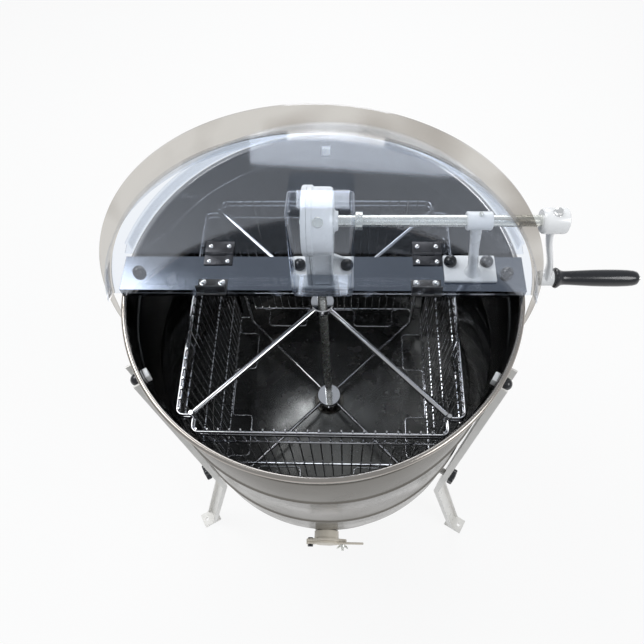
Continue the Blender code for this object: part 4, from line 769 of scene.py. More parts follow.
@dataclass
class Drum:
    """The rolled stainless drum with its beads, conical floor, shelves and outlet."""

    radius: float = 0.3150
    cone_drop: float = 0.5200
    cone_radius: float = 0.3100
    depth: float = 0.6600
    base_radius: float = 0.2885
    seam: float = 0.0090
    wall: float = 0.0012
    floor_drop: float = 0.5650
    floor_fall: float = 0.0350
    flat: float = 0.0420
    wire: float = 0.0047
    # Each swell's drop below the rim, height and half width
    swells: tuple[Triple, ...] = ((0.055, -0.004, 0.006), (0.198, 0.003, 0.007), (0.400, 0.003, 0.007))
    steps: int = 176

    def inner(self, drop: float) -> float:
        """Finds the wall's inner radius.

        Args:
            drop: How far below the rim it is asked for.

        Returns:
            The radius there.
        """
        if drop <= self.cone_drop:
            return self.radius + (self.cone_radius - self.radius) * drop / self.cone_drop
        taper = self.depth - self.seam - self.cone_drop
        share = min((drop - self.cone_drop) / taper, 1.0)
        return self.cone_radius + (self.base_radius - self.cone_radius) * share

    def bump(self, drop: float, height: float, half: float, skin: float) -> list[Pair]:
        """Lays a smooth bead in the wall's profile.

        Args:
            drop: How far below the rim the bead's middle is.
            height: How far it swells outwards.
            half: Half its width.
            skin: The surface's distance from the inner face.

        Returns:
            The bead's points, from the top down.
        """
        steps = 8
        points = []
        for i in range(steps + 1):
            share = i / steps
            level = drop - half * (1 - 2 * share)
            swell = (1 - math.cos(FULL * share)) / 2
            points.append((self.inner(level) + skin + height * swell, RIM - level))
        return points

    def beads(self, skin: float) -> list[Pair]:
        """Lays the hoop and both beads on one face of the wall.

        Args:
            skin: The face's distance from the inner face.

        Returns:
            The points, from the top down.
        """
        points = []
        for drop, height, half in self.swells:
            points += self.bump(drop, height, half, skin)
        return points

    def profile(self) -> list[Pair]:
        """Draws the wall's section: over the rim, down the outside, and back inside.

        Returns:
            The closed profile, its first point repeated at the end.
        """
        centre = (self.radius + self.wire, RIM - self.wire)
        base, bottom = self.base_radius + self.wall, RIM - self.depth
        points = arc(self.wire, math.pi, -QUARTER - QUARTER / 2, 14, centre)
        points += self.beads(self.wall)
        points += self.bend(self.wall)
        points += [(base, bottom + self.seam)]
        points += arc(0.0028, QUARTER, -QUARTER, 6, (base + 0.0002, bottom + 0.0028))
        points += [(self.base_radius, bottom), (self.base_radius, bottom + self.seam)]
        points += list(reversed(self.bend(0.0)))
        points += list(reversed(self.beads(0.0)))
        return points + [points[0]]

    def bend(self, skin: float) -> list[Pair]:
        """Rounds the bend between the wall and its narrower base.

        Args:
            skin: The face's distance from the inner face.

        Returns:
            The bend's points, from the top down.
        """
        reach = 0.012
        start = (self.inner(self.cone_drop - reach) + skin, RIM - self.cone_drop + reach)
        corner = (self.cone_radius + skin, RIM - self.cone_drop)
        end = (self.inner(self.cone_drop + reach) + skin, RIM - self.cone_drop - reach)
        route = rounded([(*start, 0), (*corner, 0), (*end, 0)], reach, 5)
        return [(point.x, point.y) for point in route]

    def side(self, face: bmesh.types.BMFace) -> int:
        """Tells the outside, the inside and the rim from one another, for the inner wall's painted
        shade and the rim's painted highlight.

        Args:
            face: A face of the drum.

        Returns:
            The index of the face's finish.
        """
        middle = face.calc_center_median()
        # The rim's top takes the painted highlight; the inner wall below it takes the painted shade.
        if middle.z > RIM - 0.012:
            return 2
        outward = face.normal.x * middle.x + face.normal.y * middle.y
        radius = math.hypot(middle.x, middle.y)
        inside = outward < 0 and radius < self.inner(RIM - middle.z) + self.wall * 0.6
        return 1 if inside else 0

    def fittings(self) -> list[Shape]:
        """Makes the shelves inside the rim that carry the bar.

        Returns:
            The shelves.
        """
        shapes = []
        for side in (-1, 1):
            inner, outer = side * (self.radius - 0.034), side * (self.radius + 0.0006)
            low = (min(inner, outer), -0.013, RIM - 0.006)
            shapes.append(block(low, (max(inner, outer), 0.013, RIM - 0.003), 0.0008))
        return shapes

    def build(self) -> None:
        """Builds and dresses the drum."""
        shell = lathe(self.profile(), Matrix(), self.steps)
        SHOP.piece(
            "drum_form",
            [shell, *self.fittings()],
            DRUM_OUTSIDE,
            Body.STAND,
            ["drum_shell", "drum_skirt", "outlet_panel"],
            more=[DRUM_INSIDE_SHADE, RIM_HIGHLIGHT],
            choose=self.side,
        )
        top = RIM - self.floor_drop
        edge_drop = self.floor_drop + self.floor_fall
        edge = self.inner(edge_drop + self.wall) - GAP
        sheet = [(0.0, top), (self.flat - 0.004, top)]
        sheet += [(self.flat + 0.004, top - self.floor_fall * 0.016), (edge, RIM - edge_drop)]
        sheet += [(edge, RIM - edge_drop - self.wall), (self.flat, top - self.wall)]
        sheet += [(0.0, top - self.wall)]
        floor = lathe(sheet, Matrix(), self.steps)
        SHOP.piece("floor_form", [floor], DRUM_FLOOR, Body.STAND, ["drum_floor"])
        self.outlet()
        self.foot_bearing()
        self.bolt_blocks()

    def outlet(self) -> None:
        """Builds the outlet pipe and the weld round it."""
        level = RIM - OUTLET_DROP
        seat = self.inner(OUTLET_DROP) + self.wall
        pipe = [
            (0.0200, -0.0080), (0.0220, -0.0080), (0.0220, 0.0205), (0.0200, 0.0205), (0.0200, -0.0080)
        ]
        weld = [(0.0215, 0.0), (0.0222, 0.0060), (0.0258, 0.0016), (0.0262, -0.0008)]
        weld += [(0.0215, -0.0008), (0.0215, 0.0)]
        place = aimed((0, -seat, level), (0, -1, 0))
        shapes = [lathe(pipe, place, 48), lathe(weld, place, 48)]
        SHOP.piece("outlet_form", shapes, DRUM_OUTSIDE, Body.STAND, ["outlet_pipe"])

    def bolt_blocks(self) -> None:
        """Builds the pale blocks inside the rim that the legs' upper studs end in."""
        shapes = []
        far = self.inner(CAP_DROP) - 0.0002
        for _, degrees in LEG_SIDES:
            place = Matrix.Rotation(math.radians(degrees), 4, "Z")
            low, high = (far - 0.0075, -0.0080, RIM - 0.0420), (far, 0.0080, RIM - 0.0240)
            shapes.append(put(block(low, high, 0.0012), place))
        SHOP.piece("leg_bolt_blocks", shapes, ENAMEL, Body.STAND)

    def foot_bearing(self) -> None:
        """Builds the bearing on the floor that carries the cage."""
        base = RIM - self.floor_drop + GAP
        profile = [
            (0.0, base + 0.004), (BORE, base + 0.004), (BORE, base + 0.019), (0.0093, base + 0.020),
            (0.0205, base + 0.020), (0.0220, base + 0.0185), (0.0220, base + 0.006),
            (0.0240, base + 0.004), (0.0350, base + 0.004), (0.0360, base + 0.003), (0.0360, base),
            (0.0, base),
        ]
        shapes = [lathe(profile, Matrix(), 64)]
        for i in range(3):
            angle = FULL * i / 3 + QUARTER / 3
            x, y = 0.0295 * math.cos(angle), 0.0295 * math.sin(angle)
            shapes.append(rod((x, y, base + 0.003), (x, y, base + 0.0062), 0.0032, 16))
        SHOP.form("foot_bearing", shapes, DRUM_OUTSIDE, Body.STAND)


# Legs and knobs


@dataclass
class Legs:
    """Three folded channel legs with their cap knobs and star knobs."""

    back: float = 0.3214
    sheet: float = 0.0030

    def build(self) -> None:
        """Builds every leg and its knobs."""
        for side, degrees in LEG_SIDES:
            azimuth = math.radians(degrees)
            leg = softened(f"leg_{side}", 0.0009, 40)
            SHOP.form(f"leg_{side}", [leg], LEG_PAINT, Body.STAND, flat_from=FLAT_FACE)
            seat = self.back + self.sheet + GAP
            out = Vector((math.cos(azimuth), math.sin(azimuth), 0))
            cap = seat * out + Vector((0, 0, RIM - CAP_DROP))
            star = seat * out + Vector((0, 0, RIM - 0.612))
            dome_knob(f"leg_cap_knob_{side}", cap, out, 0.0039, 0.0145)
            self.star_knob(f"leg_star_knob_{side}", star, out)

    def star_knob(self, node: str, seat: Vector, out: Vector) -> None:
        """Builds a lobed hand knob.

        Args:
            node: The CAD node.
            seat: The middle of its seat.
            out: The way it faces.
        """
        place = aimed(seat, out)
        outline = []
        for i in range(80):
            angle = FULL * i / 80
            swell = (1 + math.cos(5 * angle)) / 2
            radius = 0.0148 + 0.0050 * swell**0.7
            outline.append((radius * math.cos(angle), radius * math.sin(angle)))
        star = slab(outline, 0.0120, place @ shifted(0, 0, 0.0170), 0.0022)
        hub = lathe(
            [
                (0.0, -0.0340), (0.0036, -0.0340), (0.0039, -0.0335), (0.0039, 0.0), (0.0080, 0.0),
                (0.0085, 0.0006), (0.0090, 0.0110), (0.0090, 0.0215), (0.0078, 0.0238), (0.0, 0.0246),
            ],
            place,
            32,
        )
        SHOP.form(node, [star, hub], BLACK, Body.STAND)


def dome_knob(
    node: str, seat: Sequence[float], out: Sequence[float], stud: float, reach: float
) -> None:
    """Builds a glossy cap knob with its stud.

    Args:
        node: The CAD node.
        seat: The middle of its seat.
        out: The way it faces.
        stud: The stud's radius.
        reach: The stud's length.
    """
    profile = [(0.0, 0.0130)]
    for i in range(1, 10):
        angle = QUARTER * i / 9
        profile.append((0.0102 * math.sin(angle), 0.0030 + 0.0100 * math.cos(angle)))
    profile += [(0.0102, 0.0008), (0.0095, 0.0), (stud, 0.0), (stud, -reach), (0.0, -reach)]
    knob = lathe(profile, aimed(seat, out), 40)
    SHOP.form(node, [knob], BLACK, Body.STAND)


# Bridge bar


@dataclass
class Bridge:
    """The polished channel across the rim, with its knobs."""

    end_x: float = 0.2920
    box_x: Pair = (-0.0330, 0.0420)
    bracket_x: Pair = (0.2045, 0.2610)

    def build(self) -> None:
        """Builds the bar and the knobs that hold things to it."""
        bar = softened("bridge_bar", 0.0006, 60)
        # The bar's finish carries a painted reflection of dark, bluish surroundings.
        SHOP.form("bridge_bar", [bar], POLISHED_DARK_REFLECTION, Body.STAND, flat_from=FLAT_FACE)
        up = (0, 0, 1)
        for side, sign in (("left", -1), ("right", 1)):
            seat = (sign * self.end_x, 0, BAR_TOP + GAP)
            dome_knob(f"bar_end_knob_{side}", seat, up, STUD, 0.025)
        top = BAR_TOP + GAP + FLANGE + GAP
        for side, x in zip(("left", "right"), self.box_x):
            dome_knob(f"gearbox_knob_{side}", (x, 0.010, top), up, STUD, 0.0115)
        for side, x in zip(("left", "right"), self.bracket_x):
            dome_knob(f"bracket_knob_{side}", (x, 0.017, top), up, STUD, 0.0115)


# Gearbox


@dataclass
class Gearbox:
    """The white two-part casting round the bevel gears."""

    radius: float = 0.0490
    split: float = -0.0120
    left: float = -0.0200
    right: float = 0.0240

    def housing(self) -> list[Shape]:
        """Makes the right casting: drum, boss, neck and flange.

        Returns:
            The casting's shapes.
        """
        r, x0 = self.radius, self.split + GAP / 2
        length = self.right - x0
        shell = lathe(
            [
                (r - 0.003, 0.0), (r - 0.0004, 0.0), (r, 0.0004), (r, 0.0060), (r - 0.0022, 0.0085),
                (r - 0.0024, length - 0.0050), (r - 0.0045, length - 0.0014), (r - 0.0085, length),
                (0.0200, length), (0.0155, length + 0.0012), (0.0140, length + 0.0030),
                (0.0136, length + 0.0056), (0.0130, length + 0.0060), (BORE, length + 0.0060),
                (BORE, length - 0.0030), (r - 0.0060, length - 0.0030), (r - 0.0030, length - 0.0060),
                (r - 0.0030, 0.0),
            ],
            axle(x0),
            72,
        )
        base = BAR_TOP + GAP
        shapes = [shell, self.neck(x0), self.flange(x0, 0.0530)]
        low, high = base + 0.004, base + 0.020
        for y in (-0.0230, 0.0230):
            rib = slab(
                [(0.0, 0.0), (0.0260, 0.0), (0.0, high - low)],
                0.0045,
                shifted(self.right - 0.003, y, low) @ Matrix.Rotation(QUARTER, 4, "X"),
                0.0008,
            )
            shapes.append(rib)
        return shapes

    def neck(self, x0: float) -> Shape:
        """Makes the right casting's neck, with a framed hollow in its front.

        Args:
            x0: Its left side.

        Returns:
            The neck.
        """
        base = BAR_TOP + GAP
        neck = bmesh.new()
        mid_z = (base + 0.003 + AXIS - 0.0300) / 2
        size = (self.right - 0.0025 - x0, 0.0540, AXIS - 0.0300 - base - 0.003)
        place = shifted((x0 + self.right - 0.0025) / 2, 0, mid_z) @ Matrix.Diagonal((*size, 1))
        bmesh.ops.create_cube(neck, size=1, matrix=place)
        front = [f for f in neck.faces if f.normal.y < -0.5]
        bmesh.ops.inset_region(neck, faces=front, thickness=0.0048)
        bmesh.ops.inset_region(neck, faces=front, thickness=0.0012, depth=-0.0030)
        outer = [e for e in neck.edges if abs(e.verts[0].co.z - e.verts[1].co.z) > size[2] * 0.9]
        ease(neck, outer, 0.0025, 3)
        return neck

    def flange(self, low_x: float, high_x: float) -> Shape:
        """Makes one side of the base flange between two ends."""
        base = BAR_TOP + GAP
        return block((low_x, -0.0290, base), (high_x, 0.0290, base + FLANGE), 0.0016)

    def cover(self) -> list[Shape]:
        """Makes the left casting: the cover disc, its neck and its flange.

        Returns:
            The casting's shapes.
        """
        r = self.radius
        depth = self.split - GAP / 2 - self.left
        place = aimed((self.split - GAP / 2, 0, AXIS), (-1, 0, 0))
        shell = lathe(
            [
                (r - 0.0030, 0.0), (r - 0.0004, 0.0), (r, 0.0004), (r, depth - 0.0024),
                (r - 0.0010, depth - 0.0008), (r - 0.0034, depth), (r - 0.0090, depth),
                (r - 0.0105, depth - 0.0012), (0.0190, depth - 0.0012), (0.0170, depth), (0.0, depth),
                (0.0, depth - 0.0030), (r - 0.0060, depth - 0.0030), (r - 0.0030, depth - 0.0040),
                (r - 0.0030, 0.0),
            ],
            place,
            72,
        )
        base = BAR_TOP + GAP
        neck = block(
            (-0.0185, -0.0270, base + 0.003), (self.split - GAP / 2, 0.0270, AXIS - 0.0300), 0.0018
        )
        return [shell, neck, self.flange(-0.0440, self.split - GAP / 2)]

    def screws(self) -> list[Shape]:
        """Makes the lugs' hexagon screws round the cover and on the neck's front.

        Returns:
            The screws.
        """
        shapes = []
        for degrees in (50, 130, 215, 325):
            angle = math.radians(degrees)
            y, z = 0.0425 * math.cos(angle), AXIS + 0.0425 * math.sin(angle)
            place = aimed((self.left - 0.0002, y, z), (1, 0, 0))
            shapes.append(slab(hexagon(0.0070), 0.0024, place @ shifted(0, 0, 0.0008), 0.0004))
        angle = math.radians(50)
        way = Vector((0, -math.cos(angle), math.sin(angle)))
        seat = Vector((0.0035, 0, AXIS)) + way * (self.radius - 0.0024)
        shapes.append(rod(seat, seat + way * 0.0020, 0.0072, 32, 0.0008))
        return shapes

    def build(self) -> None:
        """Builds the casting, its screws and the bush, and dresses the gears."""
        SHOP.form("gearbox_housing", self.housing(), ENAMEL, Body.STAND)
        SHOP.form("gearbox_cover", self.cover(), ENAMEL, Body.STAND)
        SHOP.piece("gearbox_screws", self.screws(), PLATED, Body.STAND)
        bush = [(BORE, BAR_TOP - 0.0015), (0.0127, BAR_TOP - 0.0015), (0.0127, RIM + 0.0700)]
        bush += [(BORE, RIM + 0.0700), (BORE, BAR_TOP - 0.0015)]
        SHOP.form("shaft_bush", [lathe(bush, Matrix(), 40)], BRONZE, Body.STAND)
        SHOP.dress("drive_pinion", GEAR_STEEL)
        SHOP.dress("drive_wheel", GEAR_STEEL)


# Bracket


@dataclass
class Bracket:
    """The white bracket that carries the crank shaft's outer end."""

    left: float = 0.2050
    right: float = 0.2400
    radius: float = 0.0130

    def build(self) -> None:
        """Builds the boss, the stem and the base."""
        length = self.right - self.left
        r = self.radius
        boss = lathe(
            [
                (BORE, 0.0), (r - 0.0012, 0.0), (r, 0.0012), (r - 0.0004, 0.0080),
                (r - 0.0004, length - 0.0080), (r, length - 0.0012), (r - 0.0012, length),
                (BORE, length), (BORE, 0.0),
            ],
            axle(self.left),
            48,
        )
        base = BAR_TOP + GAP
        foot = block((0.1940, -0.0170, base), (0.2750, 0.0310, base + FLANGE), 0.0016)
        middle = 0.2225
        heights = (base + 0.003, base + 0.010, base + 0.022, base + 0.070, AXIS - 0.016, AXIS - 0.006)
        widths = ((0.0150, 0.0140), (0.0100, 0.0110), (0.0078, 0.0095), (0.0070, 0.0088))
        widths += ((0.0082, 0.0095), (0.0110, 0.0110))
        foot_x, head_x = 0.2375, 0.2205
        lean = (head_x - foot_x) / (heights[-1] - heights[0])
        route = [(foot_x + lean * (z - heights[0]), 0, z) for z in heights]
        stem = tube(route, [(b, a) for a, b in widths], 24, (1, 0, 0))
        SHOP.form("shaft_bracket", [boss, foot, stem], ENAMEL, Body.STAND)
        top = AXIS + r - 0.0008
        screw = rod((middle, 0, top), (middle, 0, top + 0.0050), 0.0030, 20)
        SHOP.piece("bracket_grease_screw", [screw], PLATED, Body.STAND)


# Crank


@dataclass
class Crank:
    """The crank: shaft, collar, cast arm, spindle and turned grip."""

    hub_left: float = 0.3060
    hub_right: float = 0.3410
    boss_left: float = 0.3440
    boss_right: float = 0.3670
    drop: float = 0.1455
    eye: float = 0.0043
    spindle: float = 0.0040

    def arm(self) -> list[Shape]:
        """Makes the cast arm: hub, S-bent web and boss.

        Returns:
            The arm's shapes.
        """
        width = self.hub_right - self.hub_left
        hub = lathe(
            [
                (0.0, 0.0), (0.0155, 0.0), (0.0175, 0.0020), (0.0180, 0.0060), (0.0180, width - 0.0060),
                (0.0172, width - 0.0016), (0.0150, width), (0.0, width),
            ],
            axle(self.hub_left),
            56,
        )
        stations = 22
        hub_x = (self.hub_left + self.hub_right) / 2
        boss_x = (self.boss_left + self.boss_right) / 2
        route, sizes = [], []
        for i in range(stations):
            share = i / (stations - 1)
            sway = (1 - math.cos(math.pi * share)) / 2
            route.append((hub_x + (boss_x - hub_x) * sway, 0, AXIS - self.drop * share))
            flare = abs(2 * share - 1) ** 3
            sizes.append((0.0048 + 0.0022 * flare, 0.0088 + 0.0030 * flare))
        web = tube(route, [(b, a) for a, b in sizes], 24, (1, 0, 0))
        length = self.boss_right - self.boss_left
        boss = lathe(
            [
                (self.eye, 0.0), (0.0108, 0.0), (0.0125, 0.0018), (0.0125, length - 0.0018),
                (0.0108, length), (self.eye, length), (self.eye, 0.0),
            ],
            axle(self.boss_left, self.drop),
            48,
        )
        return [hub, web, boss]

    def grip(self) -> Shape:
        """Turns the grip.

        Returns:
            The grip.
        """
        profile = [
            (self.eye, 0.0), (0.0135, 0.0), (0.0155, 0.0010), (0.0164, 0.0030), (0.0158, 0.0052),
            (0.0138, 0.0078), (0.0118, 0.0110), (0.0110, 0.0160), (0.0112, 0.0240), (0.0120, 0.0400),
            (0.0130, 0.0600), (0.0134, 0.0800), (0.0134, 0.0980), (0.0129, 0.1120), (0.0120, 0.1220),
            (0.0104, 0.1275), (0.0080, 0.1297), (0.0060, 0.1300), (self.eye, 0.1300), (self.eye, 0.0),
        ]
        return lathe(profile, axle(self.boss_right + GAP, self.drop), 48)

    def build(self) -> None:
        """Builds and dresses every piece of the crank."""
        low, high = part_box("crank_shaft")
        shaft = rod((low.x, 0, AXIS), (high.x, 0, AXIS), SHAFT, 48)
        SHOP.form("crank_shaft", [shaft], PLATED, Body.CRANK)
        left = max(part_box(node)[1].x for node in ("gearbox_housing", "gearbox_cover")) + GAP
        collar = lathe(
            [
                (BORE, 0.0), (0.0117, 0.0), (0.0125, 0.0008), (0.0125, 0.0092), (0.0117, 0.0100),
                (BORE, 0.0100), (BORE, 0.0),
            ],
            axle(left),
            48,
        )
        x = left + 0.005
        screw = rod((x, 0, AXIS + 0.0115), (x, 0, AXIS + 0.0129), 0.0028, 20)
        SHOP.piece("shaft_collar_form", [collar, screw], PLATED, Body.CRANK)
        SHOP.form("crank_arm", self.arm(), ENAMEL, Body.CRANK)
        middle = (self.hub_left + self.hub_right) / 2
        top = AXIS + 0.0172
        bolt = slab(hexagon(0.0100), 0.0050, shifted(middle, 0, top + 0.0030), 0.0006)
        washer = rod((middle, 0, top - 0.0010), (middle, 0, top + 0.0008), 0.0068, 24, 0.0003)
        SHOP.piece("crank_bolt", [bolt, washer], BRIGHT_NUT, Body.CRANK)
        start, tip = self.boss_left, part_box("crank_arm")[1].x
        z = AXIS - self.drop
        pin = rod((start, 0, z), (tip - 0.0020, 0, z), self.spindle, 32)
        head = rod((tip - 0.0034, 0, z), (tip, 0, z), self.eye, 32, 0.0010)
        end = rod((start + 0.0001, 0, z), (start - 0.0022, 0, z), 0.0062, 6, 0.0006)
        SHOP.piece("grip_spindle_form", [pin, head, end], PLATED, Body.CRANK)
        SHOP.form("crank_grip", [self.grip()], BLACK, Body.GRIP)


# Cage


@dataclass
class Cage:
    """The wire cage: shaft, hubs with arms, posts, four grids and the frame rests."""

    reach: float = 0.2300
    half: float = 0.1950
    post: float = 0.2030
    rails: tuple[float, ...] = (0.1350, 0.2770, 0.4100, 0.5100)
    double: tuple[float, ...] = (0.0850, 0.0970)
    uprights: int = 23
    rest_drop: float = 0.5100
    rail_wire: float = 0.0026
    flat_wire: float = 0.0020
    thin_wire: float = 0.0014
    foot_wire: float = 0.0022

    def turn(self, quarter: int) -> Matrix:
        """Returns the turn to a side of the cage."""
        return Matrix.Rotation(QUARTER * quarter, 4, "Z")

    def wires(
        self, routes: Iterable[Sequence[Sequence[float]]], radius: float, sides: int, place: Matrix
    ) -> list[Shape]:
        """Draws several wires of one radius and puts them in place."""
        return [put(tube(route, radius, sides), place) for route in routes]

    def rail(self, drop: float, depth: float) -> list[Vector]:
        """Routes a rail whose ends bend inwards to the corner posts.

        Args:
            drop: How far below the rim it lies.
            depth: How far inwards its ends go.

        Returns:
            The rail's route.
        """
        z = RIM - drop
        corner = (self.post - 0.0010, -self.reach + depth, z)
        shoulder = (self.post - 0.0010, -self.reach, z)
        route = [(-corner[0], corner[1], z), (-shoulder[0], shoulder[1], z), shoulder, corner]
        return rounded(route, 0.012, 5)

    def grid(self, quarter: int, side: str) -> None:
        """Builds one grid on the outside of the cage.

        Args:
            quarter: Its quarter turn from the front.
            side: Its side's name.
        """
        place = self.turn(quarter)
        shapes = self.wires([self.rail(d, 0.0270) for d in self.double], self.rail_wire, 10, place)
        flat = [
            [(-self.half, -self.reach, RIM - d), (self.half, -self.reach, RIM - d)] for d in self.rails
        ]
        shapes += self.wires(flat, self.flat_wire, 8, place)
        inner = -self.reach + 0.0033
        spacing = (2 * self.half - 2 * self.thin_wire) / (self.uprights - 1)
        routes = []
        for i in range(self.uprights):
            x = -self.half + self.thin_wire + spacing * i
            routes.append([(x, inner, RIM - 0.5115), (x, inner, RIM - 0.0790)])
        shapes += self.wires(routes, self.thin_wire, 8, place)
        SHOP.form(f"{side}_grid", shapes, CHROME, Body.CAGE)

    def rest(self, quarter: int, side: str) -> None:
        """Builds the two loops that carry a frame on one side.

        Args:
            quarter: Its quarter turn from the front.
            side: Its side's name.
        """
        face = -self.reach + 0.0038
        z = RIM - self.rest_drop
        route: list[Triple] = []
        for centre in (-0.1080, 0.1080):
            left, right = centre - 0.0480, centre + 0.0480
            route += [(left - 0.012, face, z), (left, face, z), (left, face + 0.047, z)]
            route += [(right, face + 0.047, z), (right, face, z), (right + 0.012, face, z)]
        shape = put(tube(rounded(route, 0.010, 5), self.flat_wire, 10), self.turn(quarter))
        SHOP.form(f"{side}_frame_rest", [shape], CHROME, Body.CAGE)

    def spider(self, node: str, drop: float, hub: float, arm: float) -> None:
        """Builds a hub with four arms.

        Args:
            node: The CAD node.
            drop: How far below the rim its arms are.
            hub: The hub's radius.
            arm: The arms' radius.
        """
        z = RIM - drop
        profile = [
            (BORE, z + 0.0070), (hub - 0.0015, z + 0.0070), (hub, z + 0.0055), (hub, z - 0.0055),
            (hub - 0.0015, z - 0.0070), (BORE, z - 0.0070), (BORE, z + 0.0070),
        ]
        shapes = [lathe(profile, Matrix(), 48)]
        far = self.post * math.sqrt(2) - 0.0043
        for i in range(4):
            angle = QUARTER * (i + 0.5)
            way = Vector((math.cos(angle), math.sin(angle), 0))
            start = way * (hub - 0.004) + Vector((0, 0, z))
            shapes.append(rod(start, way * far + Vector((0, 0, z)), arm, 20))
            bead = way * (hub - 0.001) + Vector((0, 0, z))
            shapes.append(rod(bead, bead + way * 0.0035, arm + 0.0014, 20, 0.0014))
        shapes.append(rod((0, -hub + 0.001, z), (0, -hub - 0.0045, z), 0.0034, 20))
        SHOP.form(node, shapes, CHROME, Body.CAGE)

    def posts(self) -> None:
        """Builds the four corner posts."""
        for i in range(4):
            x, y = self.post, self.post
            post = rod((x, y, RIM - 0.5390), (x, y, RIM - 0.0700), 0.0040, 20)
            foot = rounded(
                [
                    (x, y, RIM - self.rest_drop),
                    (x, self.reach - 0.001, RIM - self.rest_drop),
                    (self.half - 0.002, self.reach - 0.001, RIM - self.rest_drop),
                ],
                0.010,
            )
            shapes = [put(shape, self.turn(i)) for shape in (post, tube(foot, self.foot_wire, 10))]
            SHOP.form(f"corner_post_{i + 1}", shapes, CHROME, Body.CAGE)

    def build(self) -> None:
        """Builds the whole cage."""
        low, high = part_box("cage_shaft")
        step = RIM + 0.1135 - 0.0062
        shaft = lathe(
            [
                (0.0, low.z), (0.0072, low.z), (SHAFT, low.z + 0.0010), (SHAFT, step), (0.0050, step),
                (0.0050, high.z), (0.0, high.z),
            ],
            Matrix(),
            48,
        )
        SHOP.form("cage_shaft", [shaft], PLATED, Body.CAGE)
        self.spider("upper_spider", 0.0770, 0.0210, 0.0050)
        self.spider("lower_spider", 0.5320, 0.0280, 0.0040)
        self.posts()
        for quarter, side in enumerate(("front", "right", "rear", "left")):
            self.grid(quarter, side)
            self.rest(quarter, side)


# Lids


CAP_NUT = (
    (0.0, 0.0062), (0.0022, 0.0058), (0.0038, 0.0046), (0.0044, 0.0028), (0.0052, 0.0026),
    (0.0052, 0.0), (0.0, 0.0),
)
RIVET = ((0.0, 0.0019), (0.0020, 0.0017), (0.0034, 0.0010), (0.0040, 0.0), (0.0, 0.0))
PITCH = 0.0150


